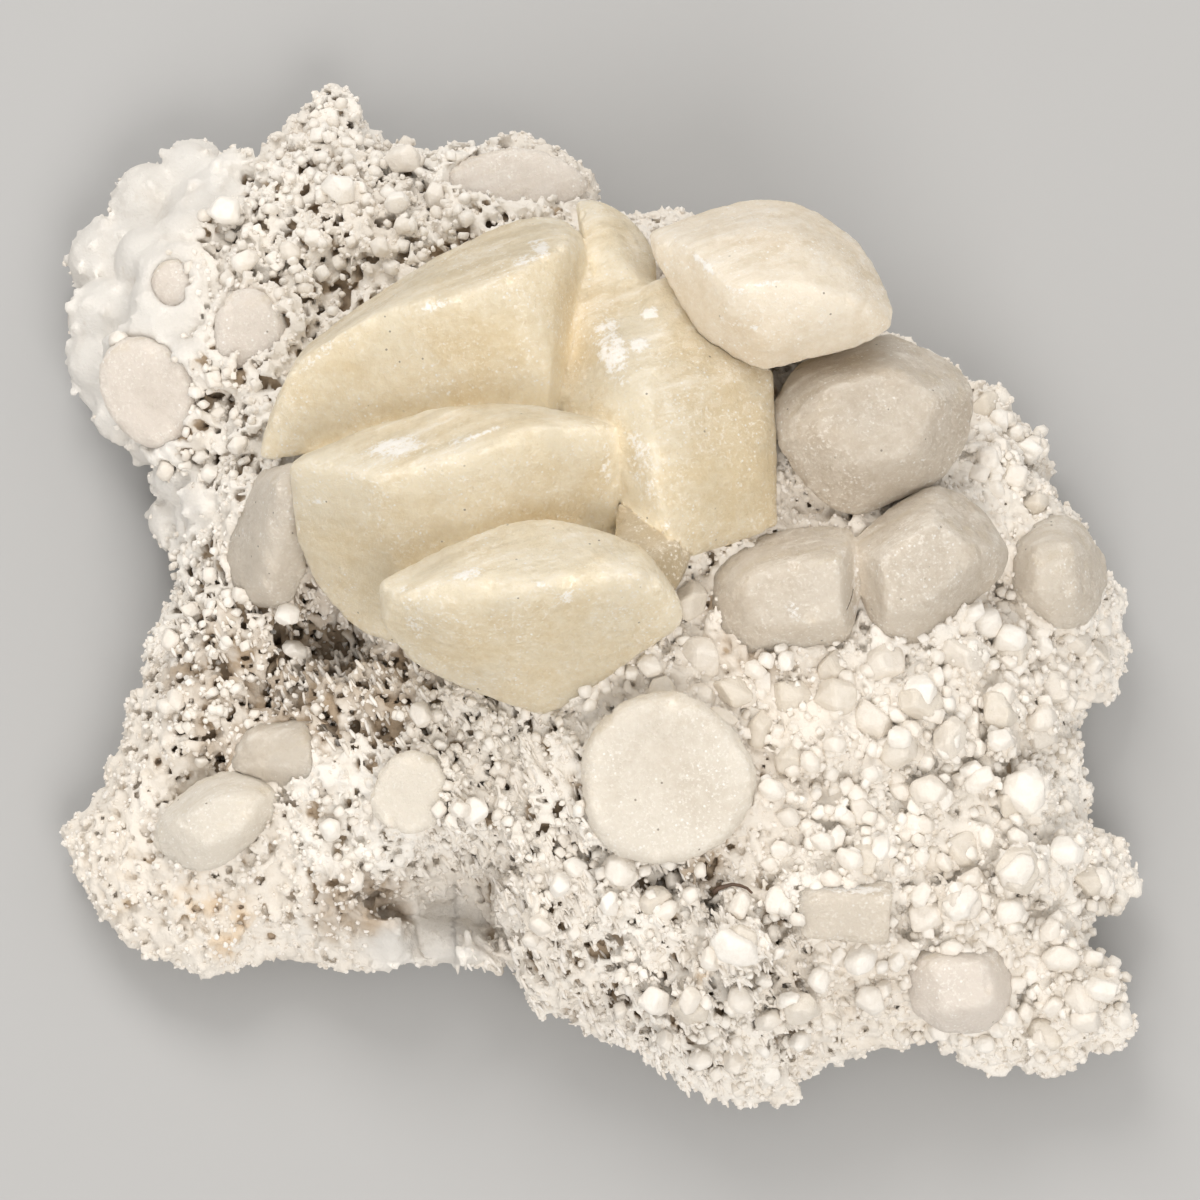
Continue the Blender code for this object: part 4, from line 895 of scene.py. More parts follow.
def noise_block(seed, size, step, short, long=None, along=None):
    """A block of smooth random values that repeats, its lumps short or, along a way, long metres."""
    rng = np.random.default_rng(seed)
    waves = 2 * math.pi * np.fft.fftfreq(size, step)
    kx, ky, kz = np.meshgrid(waves, waves, waves, indexing="ij", sparse=True)
    whole = kx * kx + ky * ky + kz * kz
    spread = whole * short ** 2
    if along is not None:
        run = kx * along[0] + ky * along[1] + kz * along[2]
        spread = spread + run * run * (long ** 2 - short ** 2)
    shape = spread * np.exp(-spread)
    values = np.fft.ifftn(np.fft.fftn(rng.standard_normal((size,) * 3)) * shape).real
    return (values / values.std()).astype(np.float32)


def tiled(block, field):
    """The block repeated over all cells of the field."""
    size = block.shape[0]
    index = [(np.arange(n) + first) % size for n, first in zip(field.shape, field.first)]
    return block[np.ix_(*index)]


def fine(coarse, shape, times):
    """A coarse grid spread over a fine one, straight between its cells."""
    for axis in range(3):
        place = np.arange(shape[axis]) / times
        start = np.minimum(place.astype(int), coarse.shape[axis] - 2)
        share = (place - start).astype(np.float32)
        share = share.reshape([-1 if i == axis else 1 for i in range(3)])
        coarse = coarse.take(start, axis) * (1 - share) + coarse.take(start + 1, axis) * share
    return coarse


def zones(field):
    """How strongly each kind of ground shows in each cell of the field."""
    times = 4
    count = [n // times + 2 for n in field.shape]
    x, y, z = [
        ((field.first[i] + np.arange(count[i]) * times) * field.step).astype(np.float32)
        for i in range(3)
    ]
    across, down = seen(x[:, None, None], y[None, :, None], z[None, None, :])
    made = {}
    for name, places in GROUND_KINDS.items():
        made[name] = fine(blobs(across, down, places), field.shape, times)
    return made


def largest_part(points, quads):
    """Only the largest connected part of a surface."""
    label = np.arange(len(points))
    first = quads.ravel()
    second = np.roll(quads, 1, axis=1).ravel()
    while True:
        low = np.minimum(label[first], label[second])
        new = label.copy()
        np.minimum.at(new, first, low)
        np.minimum.at(new, second, low)
        new = new[new]
        new = new[new]
        if (new == label).all():
            break
        label = new
    main = np.bincount(label).argmax()
    keep = label == main
    number = np.cumsum(keep) - 1
    quads = quads[keep[quads[:, 0]]]
    return points[keep], number[quads]


def corner_normals(points, quads):
    a, b, c, d = (points[quads[:, i]] for i in range(4))
    flat = np.cross(c - a, d - b)
    normals = np.zeros_like(points)
    for i in range(4):
        np.add.at(normals, quads[:, i], flat)
    return normals / np.maximum(np.linalg.norm(normals, axis=1), 1e-12)[:, None]


class Rock:
    """The matrix as a grid: its plain shape, and the same carved into pores, blades and lumps."""

    def __init__(self, node, crystals):
        body = bmesh.new()
        body.from_mesh(node.data)
        bmesh.ops.remove_doubles(body, verts=body.verts[:], dist=0.000002)
        bmesh.ops.triangulate(body, faces=body.faces[:])
        points = np.array([tuple(vert.co) for vert in body.verts], np.float32)
        triangles = np.array([[vert.index for vert in face.verts] for face in body.faces], np.uint32)
        body.free()
        self.plain = Field(points.min(0) - 2 * MM, points.max(0) + 2 * MM, ROCK_STEP)
        grid = openvdb.FloatGrid.createLevelSetFromPolygons(
            points, triangles=triangles,
            transform=openvdb.createLinearTransform(voxelSize=ROCK_STEP), halfWidth=10,
        )
        grid.copyToArray(self.plain.values, ijk=tuple(int(i) for i in self.plain.first))
        self.kinds = zones(self.plain)
        self.add_lobes()
        self.close_round(crystals)
        self.add_crumbs()
        self.carve()

    def close_round(self, crystals):
        """Grows the rock against the crystals that sit in it."""
        for crystal in crystals:
            snug = crystal.snug
            for part in crystal.parts:
                cut, x, y, z = self.plain.window(part.low - 2 * MM, part.high + 2 * MM)
                away = np.full(np.broadcast(x, y, z).shape, -1.0, np.float32)
                for (a, b, c), offset in zip(part.normals, part.offsets):
                    away = np.maximum(away, a * x + b * y + (c * z - offset))
                self.plain.values[cut] -= snug * MM * (1 - ease(np.abs(away) / ((0.6 + snug) * MM)))

    def stamp(self, start, end, radius, blend=0.0):
        """Joins a rounded rod from start to end to the plain rock."""
        low = np.minimum(start, end) - radius - 0.6 * MM
        high = np.maximum(start, end) + radius + 0.6 * MM
        cut, x, y, z = self.plain.window(low, high)
        x, y, z = x - start[0], y - start[1], z - start[2]
        way = end - start
        length = float(way @ way)
        if length > 0:
            share = np.clip((x * way[0] + y * way[1] + z * way[2]) / length, 0, 1)
            x, y, z = x - share * way[0], y - share * way[1], z - share * way[2]
        away = np.sqrt(x * x + y * y + z * z) - radius
        old = self.plain.values[cut]
        self.plain.values[cut] = np.minimum(old, away)

    def add_lobes(self):
        """Broad rounded lobes of clouded calcite in the rock."""
        across, down, radius, sunk = (np.array(column) for column in zip(*LOBES))
        points = self.hit(across, down)[0]
        for point, r, share in zip(points, radius, sunk):
            centre = point - share * r * MM * TOWARDS
            self.stamp(centre, centre, r * MM)
        for start, end, radius in SILL:
            self.stamp(spot(*start), spot(*end), radius * MM)

    def add_crumbs(self):
        """Grains stuck to each other all over the rock, drawn out into rods where blades grow."""
        rng = np.random.default_rng(35)
        field = self.plain
        near = np.argwhere(np.abs(field.values) < 0.5 * field.step)
        cell = near[rng.choice(len(near), CRUMB_COUNT, replace=False)]
        place = (cell + field.first) * field.step
        keep = (place[:, 2] > 2.5 * MM) & (rng.random(len(cell)) > 0.8 * self.kinds["smooth"][tuple(cell.T)])
        cell = cell[keep]
        place = place[keep]
        blade = self.kinds["blades"][tuple(cell.T)]
        blobby = self.kinds["blobby"][tuple(cell.T)]
        run = math.cos(BLADE_RUN) * RIGHT + math.sin(BLADE_RUN) * UP
        for p, b, round_share in zip(place, blade, blobby):
            radius = rng.uniform(0.36, 0.62) + 0.3 * round_share * rng.random() ** 2
            long = rng.uniform(0.1, 0.45)
            way = rng.standard_normal(3) * 0.5
            if rng.random() < b:
                radius = rng.uniform(0.3, 0.46)
                long = rng.uniform(1.2, 2.6)
                way = run + 0.16 * rng.standard_normal(3) + 0.15 * TOWARDS
            way *= long * MM / np.linalg.norm(way)
            p = p + 0.35 * radius * MM * TOWARDS * rng.uniform(-0.3, 1.0)
            self.stamp(p - 0.5 * way, p + 0.5 * way, radius * MM)

    def carve(self):
        field = self.plain
        kinds = self.kinds
        step = field.step
        run = math.cos(BLADE_RUN) * RIGHT + math.sin(BLADE_RUN) * UP
        pores = tiled(noise_block(31, 80, step, 0.46 * MM), field)
        small = tiled(noise_block(32, 72, step, 0.24 * MM), field)
        blades = tiled(noise_block(33, 96, step, 0.36 * MM, 1.7 * MM, run), field)
        lumps = tiled(noise_block(34, 128, step, 1.5 * MM), field)
        blade = kinds["blades"]
        smooth = kinds["smooth"]
        x, y, z = field.everywhere()[1:]
        top = ease((z - 5 * MM) / (4 * MM))
        open_share = 0.32 + 0.5 * kinds["lacy"] + 0.5 * blade - 0.6 * smooth - 0.26 * kinds["blobby"]
        open_share = np.maximum(open_share * top, 0)
        base = field.values + (0.25 * MM) * np.maximum(lumps, -0.4) * (1 - 0.5 * smooth)
        value = pores * (1 - blade) + (0.95 * blades + 0.35 * pores) * blade + 0.4 * small
        deep = (0.2 * MM) + (2.0 * MM) * open_share
        hole = np.minimum((value - (1.3 - 1.35 * open_share)) * (0.42 * MM), base + deep)
        value = np.maximum(base, hole)
        value += (0.13 + 0.08 * open_share) * (1 - smooth) * MM * small
        value = np.maximum(value, field.values - 0.12 * MM)
        self.carved = Field.__new__(Field)
        self.carved.step = step
        self.carved.first = field.first
        self.carved.shape = field.shape
        self.carved.values = np.maximum(value, -z - 0 * x - 0 * y).astype(np.float32)

    def hit(self, across, down):
        """The first points of the plain rock seen at (across, down), from the front."""
        height = np.arange(44, 3, -0.2)
        rays = np.array([[spot(a, d, h) for h in height] for a, d in zip(across, down)])
        value = self.plain.at(rays.reshape(-1, 3)).reshape(rays.shape[:2])
        first = (value < 0).argmax(axis=1)
        return rays[np.arange(len(rays)), first], (value < 0).any(axis=1)

    def pieces(self, paint):
        """The carved rock, in slabs that share their normals so that no seam shows."""
        points, quads = self.carved.surface()
        points, quads = largest_part(points, quads)
        normals = corner_normals(points, quads)
        depth = self.plain.at(points)
        inside = self.plain
        cell = np.clip(np.rint(points / inside.step).astype(int) - inside.first, 0, np.array(inside.shape) - 1)
        smooth = self.kinds["smooth"][cell[:, 0], cell[:, 1], cell[:, 2]]
        across, down = seen(points[:, 0], points[:, 1], points[:, 2])
        rust = blobs(across, down, RUST)
        # Painted shade: browner the deeper a point lies below the plain rock.
        hollow = ease((-depth / MM - 0.25) / 1.5)
        # Painted shade over the listed spots of rock.
        brown = blobs(across, down, SHADE_SPOTS)
        grow = ease((points[:, 2] / MM - 3.5) / 3) * (1 - smooth) * (0.35 + 0.65 * ease(1 + depth / (1.2 * MM)))
        blade = self.kinds["blades"][cell[:, 0], cell[:, 1], cell[:, 2]]
        count = math.ceil(len(quads) / 92000)
        middle = points[quads[:, 0], 0]
        bounds = np.quantile(middle, np.linspace(0, 1, count + 1))
        bounds[-1] += 1
        made = []
        for i in range(count):
            keep = quads[(middle >= bounds[i]) & (middle < bounds[i + 1])]
            used, faces = np.unique(keep, return_inverse=True)
            name = "matrix_rock_%d" % (i + 1)
            mesh = mesh_from(
                name, points[used], faces.reshape(-1, 4), normals[used],
                hollow=hollow[used], smooth_lobe=smooth[used], rust=rust[used], brown=brown[used],
                grow=grow[used], blade_grow=grow[used] * blade[used],
            )
            made.append(add_piece(name, mesh, paint, "white_matrix", "matrix"))
        print("rock", len(quads) * 2, "triangles in", count)
        return made


# Small crystals, grains and blades


def shape_collection(name, meshes, smooth=True):
    """A hidden collection of small shapes to scatter."""
    made = bpy.data.collections.new(name)
    for i, mesh in enumerate(meshes):
        if smooth:
            mesh.shade_smooth()
        made.objects.link(bpy.data.objects.new("%s_%02d" % (name, i), mesh))
    return made


def shape_mesh(name, body):
    bmesh.ops.recalc_face_normals(body, faces=body.faces[:])
    mesh = bpy.data.meshes.new(name)
    body.to_mesh(mesh)
    body.free()
    return mesh


def rhomb_shapes(count, seed):
    """Blunt rhombs of calcite with bevelled, slightly uneven edges."""
    rng = random.Random(seed)
    made = []
    for i in range(count):
        body = bmesh.new()
        bmesh.ops.create_cube(body, size=1.25)
        squash = Matrix.Scale(rng.uniform(0.66, 0.82), 4, Vector((1, 1, 1)).normalized())
        longer = Matrix.Diagonal((rng.uniform(0.72, 1.25), rng.uniform(0.75, 1.15), rng.uniform(0.75, 1.1), 1))
        bmesh.ops.transform(body, matrix=longer @ squash, verts=body.verts)
        bmesh.ops.bevel(
            body, geom=body.edges[:] + body.verts[:], offset=rng.uniform(0.12, 0.26),
            segments=1, affect="EDGES",
        )
        for vert in body.verts:
            vert.co *= rng.uniform(0.88, 1.09)
        made.append(shape_mesh("rhomb", body))
    return made


def blunt_shapes(count, seed):
    """Larger blunt crystals with a few flat faces between rounded edges."""
    rng = random.Random(seed)
    made = []
    for i in range(count):
        body = bmesh.new()
        for k in range(13):
            down = 1 - 2 * (k + 0.5) / 13
            turn = 2.4 * k + rng.uniform(-0.35, 0.35)
            wide = math.sqrt(1 - down * down)
            far = rng.uniform(0.82, 1.12)
            body.verts.new((far * wide * math.cos(turn), far * wide * math.sin(turn), 0.72 * far * down))
        bmesh.ops.convex_hull(body, input=body.verts[:])
        bmesh.ops.dissolve_limit(body, angle_limit=0.3, verts=body.verts[:], edges=body.edges[:])
        bmesh.ops.bevel(
            body, geom=body.edges[:] + body.verts[:], offset=0.13, segments=2, profile=0.55, affect="EDGES",
        )
        made.append(shape_mesh("blunt", body))
    return made


def pebble_shapes(count, seed, rounds, jitter):
    """Rounded grains."""
    rng = random.Random(seed)
    made = []
    for i in range(count):
        body = bmesh.new()
        bmesh.ops.create_icosphere(body, subdivisions=rounds, radius=1)
        for vert in body.verts:
            vert.co *= rng.uniform(1 - jitter, 1 + jitter)
        flat = Matrix.Diagonal((rng.uniform(0.8, 1.2), rng.uniform(0.8, 1.1), rng.uniform(0.65, 0.95), 1))
        bmesh.ops.transform(body, matrix=flat, verts=body.verts)
        made.append(shape_mesh("pebble", body))
    return made


def blade_shapes(count, seed):
    """Thin rods along X with uneven, blunt ends."""
    rng = random.Random(seed)
    made = []
    for i in range(count):
        body = bmesh.new()
        wide = rng.uniform(0.22, 0.36)
        for x, size in ((-1, 0.6), (-0.35, 1.0), (0.45, 0.95), (1, 0.5)):
            for corner in range(5):
                angle = 2 * math.pi * corner / 5 + 0.3 * x
                y = math.cos(angle) * wide * size * rng.uniform(0.8, 1.25)
                z = math.sin(angle) * wide * size * rng.uniform(0.7, 1.1)
                body.verts.new((x, y + 0.08 * math.sin(2 * x + i), z))
        bmesh.ops.convex_hull(body, input=body.verts[:])
        loose = [vert for vert in body.verts if not vert.link_faces]
        bmesh.ops.delete(body, geom=loose, context="VERTS")
        made.append(shape_mesh("blade", body))
    return made


class NodeTree:
    """A geometry node tree in the making."""

    def __init__(self, name):
        self.tree = bpy.data.node_groups.new(name, "GeometryNodeTree")
        self.tree.interface.new_socket("Geometry", in_out="INPUT", socket_type="NodeSocketGeometry")
        self.tree.interface.new_socket("Geometry", in_out="OUTPUT", socket_type="NodeSocketGeometry")
        self.sockets = {}
        self.start = None

    def entry(self, name, kind):
        socket = self.tree.interface.new_socket(name, in_out="INPUT", socket_type="NodeSocket" + kind)
        self.sockets[name] = socket.identifier

    def value(self, name):
        if self.start is None:
            self.start = self.tree.nodes.new("NodeGroupInput")
        return self.start.outputs[name]

    def add(self, kind, inputs=None, **settings):
        return put(self.tree, kind, inputs, **settings)

    def close(self, geometry):
        end = self.tree.nodes.new("NodeGroupOutput")
        self.tree.links.new(geometry, end.inputs[0])


def finish_instances(made, instances):
    """Gives each instance a tint of its own, makes them real and gives them their material."""
    tint = made.add("FunctionNodeRandomValue", {"Seed": 77}, data_type="FLOAT")
    stored = made.add(
        "GeometryNodeStoreNamedAttribute",
        {"Geometry": instances, "Name": "tint", "Value": tint.outputs[1]},
        data_type="FLOAT", domain="INSTANCE",
    )
    real = made.add("GeometryNodeRealizeInstances", {0: stored.outputs[0]})
    painted = made.add("GeometryNodeSetMaterial", {"Geometry": real.outputs[0], "Material": made.value("Material")})
    made.close(painted.outputs[0])


def growth_tree():
    """Scatters shapes over the parts of a surface where they grow."""
    made = NodeTree("growth")
    for name, kind in (
        ("Density", "Float"), ("Where", "String"), ("Smallest", "Float"), ("Largest", "Float"),
        ("Run", "Vector"), ("Lift", "Float"), ("Spread", "Float"), ("Rise", "Float"),
        ("Seed", "Int"), ("Shapes", "Collection"), ("Material", "Material"),
    ):
        made.entry(name, kind)
    where = made.add("GeometryNodeInputNamedAttribute", {"Name": made.value("Where")}, data_type="FLOAT")
    density = made.add("ShaderNodeMath", {0: where.outputs[0], 1: made.value("Density")}, operation="MULTIPLY")
    points = made.add(
        "GeometryNodeDistributePointsOnFaces",
        {"Mesh": made.value("Geometry"), "Density": density.outputs[0], "Seed": made.value("Seed")},
        distribute_method="RANDOM",
    )
    normal = points.outputs["Normal"]
    loose = made.add("FunctionNodeRandomValue", {0: (-1, -1, -1), 1: (1, 1, 1), "Seed": 3}, data_type="FLOAT_VECTOR")
    lifted = made.add("ShaderNodeVectorMath", {0: normal, "Scale": made.value("Lift")}, operation="SCALE")
    strayed = made.add("ShaderNodeVectorMath", {0: loose.outputs[0], "Scale": made.value("Spread")}, operation="SCALE")
    way = made.add("ShaderNodeVectorMath", {0: made.value("Run"), 1: lifted.outputs[0]}, operation="ADD")
    way = made.add("ShaderNodeVectorMath", {0: way.outputs[0], 1: strayed.outputs[0]}, operation="ADD")
    turned = made.add("FunctionNodeAlignRotationToVector", {"Vector": way.outputs[0]}, axis="X")
    spin = made.add("FunctionNodeRandomValue", {0: (0, 0, 0), 1: (6.28, 0, 0), "Seed": 5}, data_type="FLOAT_VECTOR")
    spin = made.add("FunctionNodeEulerToRotation", {"Euler": spin.outputs[0]})
    turned = made.add(
        "FunctionNodeRotateRotation",
        {"Rotation": turned.outputs[0], "Rotate By": spin.outputs[0]}, rotation_space="LOCAL",
    )
    size = made.add(
        "FunctionNodeRandomValue",
        {2: made.value("Smallest"), 3: made.value("Largest"), "Seed": 7}, data_type="FLOAT",
    )
    rise = made.add("ShaderNodeMath", {0: size.outputs[1], 1: made.value("Rise")}, operation="MULTIPLY")
    lift = made.add("ShaderNodeVectorMath", {0: normal, "Scale": rise.outputs[0]}, operation="SCALE")
    moved = made.add("GeometryNodeSetPosition", {"Geometry": points.outputs["Points"], "Offset": lift.outputs[0]})
    shapes = made.add("GeometryNodeCollectionInfo", {"Collection": made.value("Shapes"), "Separate Children": True, "Reset Children": True})
    instances = made.add(
        "GeometryNodeInstanceOnPoints",
        {"Points": moved.outputs[0], "Instance": shapes.outputs[0], "Pick Instance": True,
         "Rotation": turned.outputs[0], "Scale": size.outputs[1]},
    )
    finish_instances(made, instances.outputs[0])
    return made


def placing_tree():
    """Sets a shape on each point, with the size, turn and kind that the point carries."""
    made = NodeTree("placing")
    for name, kind in (("Size", "Float"), ("Shapes", "Collection"), ("Material", "Material")):
        made.entry(name, kind)
    points = made.add("GeometryNodeMeshToPoints", {"Mesh": made.value("Geometry")})
    size = made.add("GeometryNodeInputNamedAttribute", {"Name": "size"}, data_type="FLOAT")
    size = made.add("ShaderNodeMath", {0: size.outputs[0], 1: made.value("Size")}, operation="MULTIPLY")
    turn = made.add("GeometryNodeInputNamedAttribute", {"Name": "turn"}, data_type="FLOAT_VECTOR")
    turn = made.add("FunctionNodeEulerToRotation", {"Euler": turn.outputs[0]})
    kind = made.add("GeometryNodeInputNamedAttribute", {"Name": "kind"}, data_type="INT")
    shapes = made.add("GeometryNodeCollectionInfo", {"Collection": made.value("Shapes"), "Separate Children": True, "Reset Children": True})
    instances = made.add(
        "GeometryNodeInstanceOnPoints",
        {"Points": points.outputs[0], "Instance": shapes.outputs[0], "Pick Instance": True,
         "Instance Index": kind.outputs[0], "Rotation": turn.outputs[0], "Scale": size.outputs[0]},
    )
    finish_instances(made, instances.outputs[0])
    return made


def grown_mesh(base, made, **inputs):
    """The plain mesh that a node tree grows on base."""
    modifier = base.modifiers.new("growth", "NODES")
    modifier.node_group = made.tree
    for name, value in inputs.items():
        modifier[made.sockets[name]] = value
    depsgraph = bpy.context.evaluated_depsgraph_get()
    mesh = bpy.data.meshes.new_from_object(base.evaluated_get(depsgraph))
    base.modifiers.remove(modifier)
    return mesh


def guide_object(name, mesh):
    made = bpy.data.objects.new(name, mesh)
    bpy.context.scene.collection.objects.link(made)
    return made


def point_mesh(places, sizes, turns, kinds):
    mesh = bpy.data.meshes.new("places")
    mesh.from_pydata([tuple(p) for p in places], [], [])
    mesh.attributes.new("size", "FLOAT", "POINT").data.foreach_set("value", np.array(sizes, np.float32))
    mesh.attributes.new("turn", "FLOAT_VECTOR", "POINT").data.foreach_set("vector", np.array(turns, np.float32).ravel())
    mesh.attributes.new("kind", "INT", "POINT").data.foreach_set("value", np.array(kinds, np.int32))
    return mesh


def add_druse(rock, paint, lump_paint):
    """The small crystals that stand out, and more like them between."""
    rng = random.Random(41)
    spread = []
    for across, down, radius in DRUSE:
        spread.append((across, down, radius * rng.uniform(1.0, 1.15), 0.15))
    for count, places, smallest, largest in DRUSE_FIELDS:
        for i in range(count):
            a, d, radius = rng.choice(places)
            turn = rng.uniform(0, 6.28)
            far = radius * math.sqrt(rng.random())
            size = smallest + (largest - smallest) * rng.random() ** 2
            spread.append((a + far * math.cos(turn), d + far * math.sin(turn), size, 0.0))
    across, down, sizes, lift = (np.array(column) for column in zip(*spread))
    points, found = rock.hit(across, down)
    points = points + (lift * sizes * MM)[:, None] * TOWARDS
    turns = [[rng.uniform(0, 6.28) for k in range(3)] for i in spread]
    kinds = [rng.randrange(12, 18) if size > 1.35 else rng.randrange(12) for size in sizes]
    shapes = shape_collection("druse_shapes", rhomb_shapes(12, 51) + blunt_shapes(6, 52))
    tree = placing_tree()
    place_shapes("druse_crystals", points[found], sizes[found], np.array(turns)[found], np.array(kinds)[found], tree, shapes, paint)

    across, down, sizes, sunk = (np.array(column) for column in zip(*LUMPS))
    points, found = rock.hit(across, down)
    points = points - (sunk * sizes * MM)[:, None] * TOWARDS
    turns = [[rng.uniform(0, 6.28) for k in range(3)] for size in sizes]
    shapes = shape_collection("lump_shapes", blunt_shapes(8, 53), False)
    place_shapes("druse_lumps", points, sizes, turns, [i % 8 for i in range(len(sizes))], tree, shapes, lump_paint)


def place_shapes(name, points, sizes, turns, kinds, tree, shapes, paint):
    base = guide_object("places", point_mesh(points, sizes * MM, turns, kinds))
    mesh = grown_mesh(base, tree, Size=1.0, Shapes=shapes, Material=paint)
    bpy.data.objects.remove(base)
    print(name, len(sizes), "crystals", sum(len(p.vertices) - 2 for p in mesh.polygons), "triangles")
    return add_piece(name, mesh, paint, "cloudy_calcite")


def on_crystal(grown, places):
    """The points of a crystal seen at places, each (across, down)."""
    made = []
    for across, down in places:
        ray = np.array([spot(across, down, height) for height in np.arange(48, 8, -0.05)])
        inside = grown.measure(ray)[0] < 0
        if inside.any():
            made.append(ray[inside.argmax()])
    return made


def add_thread(name, points, thick, thin, paint):
    """A bent thread of six sides through the points, its radius from thick to thin."""
    body = bmesh.new()
    rings = []
    last = len(points) - 1
    for i, point in enumerate(points):
        way = Vector(points[min(i + 1, last)] - points[max(i - 1, 0)]).normalized()
        side = way.cross(Vector(TOWARDS)).normalized()
        rise = side.cross(way)
        radius = (thick + (thin - thick) * i / last) * MM
        ring = []
        for k in range(6):
            angle = math.pi * k / 3
            ring.append(body.verts.new(Vector(point) + radius * (math.cos(angle) * side + math.sin(angle) * rise)))
        rings.append(ring)
    for first, second in zip(rings, rings[1:]):
        for k in range(6):
            body.faces.new((first[k], first[k - 1], second[k - 1], second[k]))
    body.faces.new(rings[0])
    body.faces.new(rings[-1])
    mesh = shape_mesh(name, body)
    mesh.shade_smooth()
    return add_piece(name, mesh, paint, "white_matrix")


def add_threads(rock, crystal):
    """The dark rootlet on the rock and the thread as fine as a hair on the pale crystals."""
    paint, tree, shader, place = new_material("rootlet_brown")
    bark = mixed(tree, noise(tree, place, 900, 3.0), (0.035, 0.022, 0.015, 1), (0.17, 0.1, 0.06, 1))
    tree.links.new(bark, shader.inputs["Base Color"])
    shader.inputs["Roughness"].default_value = 0.6
    across, down = (np.array(column) for column in zip(*ROOTLET))
    points = rock.hit(across, down)[0]
    highest = (points @ TOWARDS).max()
    points = points + ((highest - points @ TOWARDS) * 0.8 + 0.2 * MM)[:, None] * TOWARDS
    add_thread("rootlet", points, 0.25, 0.12, paint)
    add_thread("fine_thread", on_crystal(crystal, HAIR), 0.05, 0.035, paint)


def add_growth(rock_pieces, paints):
    """Grains and blades on the rock."""
    tree = growth_tree()
    grains = shape_collection("grain_shapes", pebble_shapes(6, 61, 1, 0.3), False)
    blades = shape_collection("blade_shapes", blade_shapes(6, 62))
    run = tuple(math.cos(BLADE_RUN) * RIGHT + math.sin(BLADE_RUN) * UP)
    for i, piece in enumerate(rock_pieces, 1):
        mesh = grown_mesh(
            piece, tree, Density=GRAIN_DENSITY, Where="grow", Smallest=0.16 * MM, Largest=0.42 * MM,
            Run=(0, 0, 0), Lift=0.2, Spread=1.0, Rise=0.08, Seed=100 + i, Shapes=grains, Material=paints[0],
        )
        print("grains", i, len(mesh.polygons))
        add_piece("rock_grains_%d" % i, mesh, paints[0], "white_matrix")
        mesh = grown_mesh(
            piece, tree, Density=BLADE_DENSITY, Where="blade_grow", Smallest=0.35 * MM, Largest=0.9 * MM,
            Run=run, Lift=0.15, Spread=0.22, Rise=0.1, Seed=200 + i, Shapes=blades, Material=paints[1],
        )
        print("blades", i, len(mesh.polygons))
        if len(mesh.polygons):
            add_piece("rock_blades_%d" % i, mesh, paints[1], "white_matrix")


# The specimen


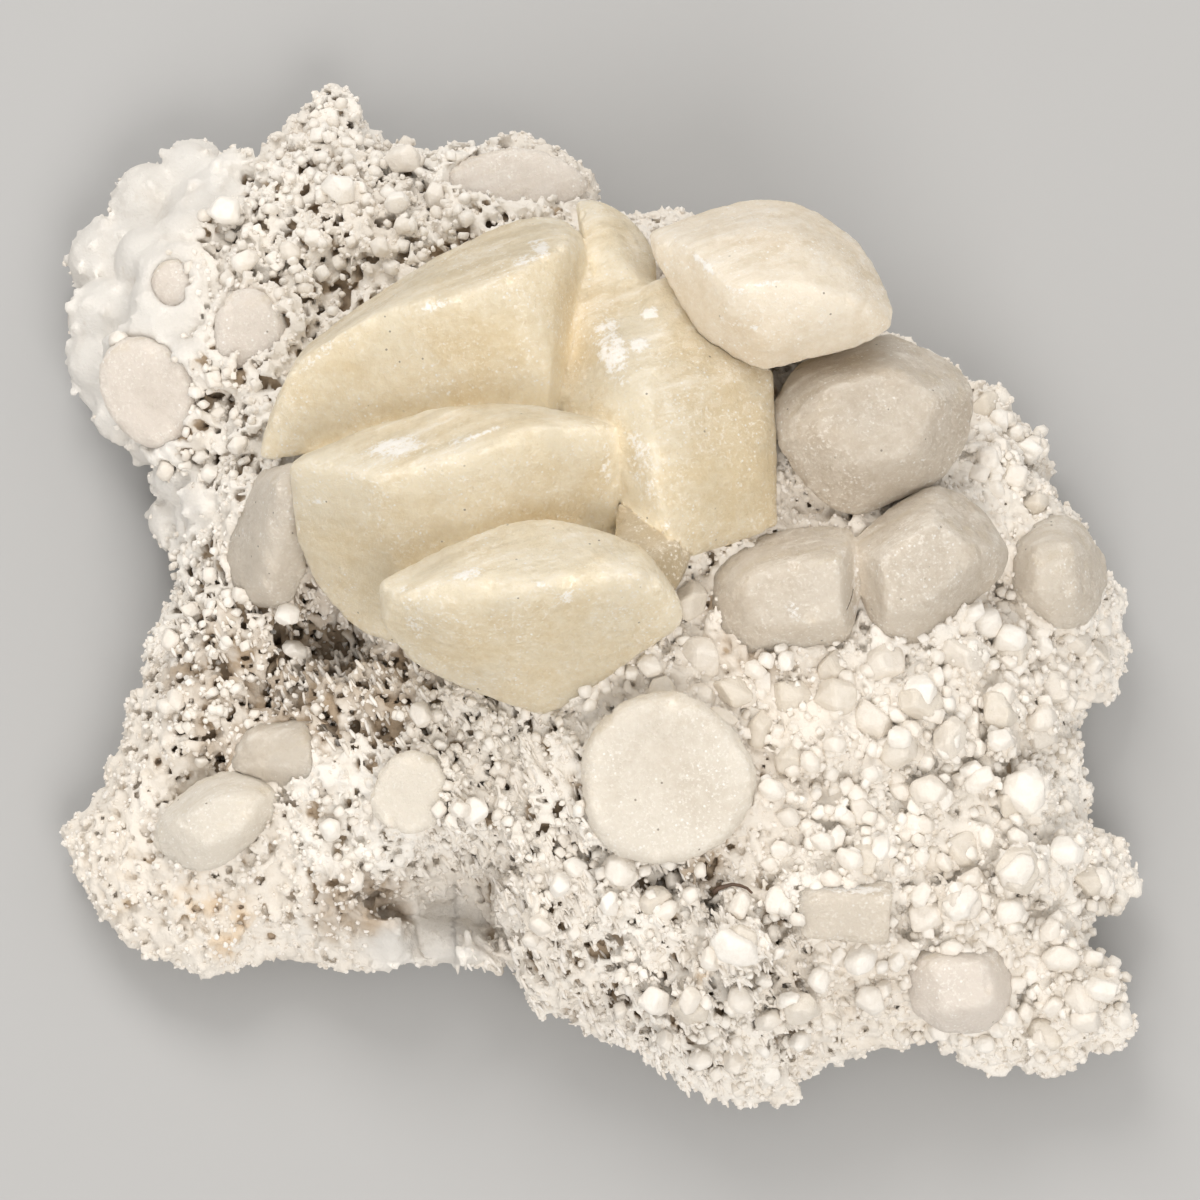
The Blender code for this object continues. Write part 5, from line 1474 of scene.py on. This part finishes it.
def build_specimen():
    honey = calcite("calcite_honey", (0.75, 0.615, 0.40), (0.90, 0.80, 0.61), 0.2, 4.0, (1.0, 0.97, 0.9), 0.36)
    cream = calcite("calcite_cream", (0.735, 0.62, 0.465), (0.85, 0.765, 0.635), 0.0, 3.0, (1.0, 0.98, 0.94), 0.42)
    matt = calcite("calcite_matt", (0.635, 0.56, 0.465), (0.755, 0.695, 0.605), 0.0, 2.5, (1.0, 0.98, 0.95))
    pale = calcite("calcite_pale", (0.59, 0.50, 0.395), (0.75, 0.67, 0.565), 0.18, 3.0, (1.0, 0.98, 0.95), 0.4)
    cloudy = calcite("calcite_cloudy", (0.625, 0.555, 0.485), (0.74, 0.67, 0.60), 0.0, 2.5, (1.0, 0.99, 0.97), 0.44)
    rock_paint = white_rock()
    druse_paint = druse_calcite("calcite_druse", (0.85, 0.79, 0.71), (0.94, 0.90, 0.84), 0.0)
    lump_paint = druse_calcite("calcite_lumps", (0.80, 0.73, 0.63), (0.90, 0.84, 0.76), 0.1)
    grain_paint = druse_calcite("calcite_grains", (0.84, 0.78, 0.7), (0.93, 0.89, 0.84), 0.0)

    cream_crystal = Grown([Crystal(spots(CREAM_UPPER_RIGHT), 1)])
    pair = Grown([Crystal(spots(PALE_PAIR_LEFT), 2), Crystal(spots(PALE_PAIR_RIGHT), 3)])
    pale_right = Grown([Crystal(spots(PALE_RIGHT), 4)], cream_crystal.parts + pair.parts)
    cluster = Grown(
        [Crystal(spots(corners), 5 + i) for i, corners in enumerate((
            HONEY_FRONT, HONEY_MIDDLE, HONEY_UPPER, HONEY_BACK_LEFT, HONEY_BACK_RIGHT,
            HONEY_TIP, HONEY_WEDGE,
        ))],
        cream_crystal.parts + pair.parts + pale_right.parts,
    )
    rim = Grown([Crystal(spots(PALE_RIM), 12)], pair.parts)
    left = Grown([Crystal(spots(PALE_LEFT), 13)], cluster.parts)
    round_front = Grown([tablet(ROUND_FRONT, 14)], cluster.parts)
    oval_front = Grown([tablet(OVAL_FRONT, 15)])
    lens_left = Grown([Crystal(spots(LENS_LEFT), 16, grow=1.0 * MM)], snug=0.8)
    clear_left = Grown([Crystal(spots(CLEAR_LEFT), 17, grow=0.7 * MM)], lens_left.parts, snug=0.8)
    cleaved = Grown([Crystal(spots(CLEAVED), 18)])
    cloudy_right = Grown([Crystal(spots(CLOUDY_LOWER_RIGHT), 19)])
    upper_left = Grown([tablet(LENS_UPPER_LEFT, 20)], snug=2.2)
    rim_left = Grown([tablet(LENS_RIM_LEFT, 21)], snug=2.2)
    small_left = Grown([tablet(LENS_SMALL_LEFT, 22)], snug=2.2)
    top = Grown([tablet(LENS_TOP, 23)], snug=1.6)

    everything = [
        cream_crystal, pair, pale_right, cluster, rim, left, round_front, oval_front, lens_left,
        clear_left, cleaved, cloudy_right, upper_left, rim_left, small_left, top,
    ]
    rock = Rock(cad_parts["matrix"], everything)

    for name, grown, paint, slot, tones in (
        ("honey_cluster_dressed", cluster, honey, "honey_calcite", (0.6, 0.5, 0.35, 0.45, 0.05, 0.3, -0.7)),
        ("cream_crystal_dressed", cream_crystal, cream, "cream_calcite", (0.3,)),
        ("pale_pair_dressed", pair, pale, "pale_calcite", (0.5, 0.25)),
        ("pale_right_dressed", pale_right, pale, "pale_calcite", (0.15,)),
        ("pale_rim_dressed", rim, pale, "pale_calcite", (0.7,)),
        ("pale_left_dressed", left, pale, "pale_calcite", (0.6,)),
        ("round_crystal_dressed", round_front, matt, "cream_calcite", (0.6,)),
        ("oval_crystal_dressed", oval_front, matt, "cream_calcite", (0.7,)),
        ("lens_left_dressed", lens_left, matt, "cream_calcite", (0.6,)),
        ("clear_left_dressed", clear_left, pale, "pale_calcite", (0.6,)),
        ("cleaved_dressed", cleaved, pale, "pale_calcite", (0.6,)),
        ("cloudy_right_dressed", cloudy_right, cloudy, "cloudy_calcite", (0.6,)),
        ("lens_upper_left_dressed", upper_left, cloudy, "cloudy_calcite", (0.5,)),
        ("lens_rim_left_dressed", rim_left, cloudy, "cloudy_calcite", (0.5,)),
        ("lens_small_left_dressed", small_left, cloudy, "cloudy_calcite", (0.5,)),
        ("lens_top_dressed", top, cloudy, "cloudy_calcite", (0.5,)),
    ):
        add_crystal(name, grown, paint, slot, tones, CRYSTAL_STEP, PATCHES.get(name, ()), NODES[name])

    slabs = rock.pieces(rock_paint)
    add_druse(rock, druse_paint, lump_paint)
    add_growth(slabs, (grain_paint, grain_paint))
    add_threads(rock, pair)


add_camera()
add_studio()
build_specimen()
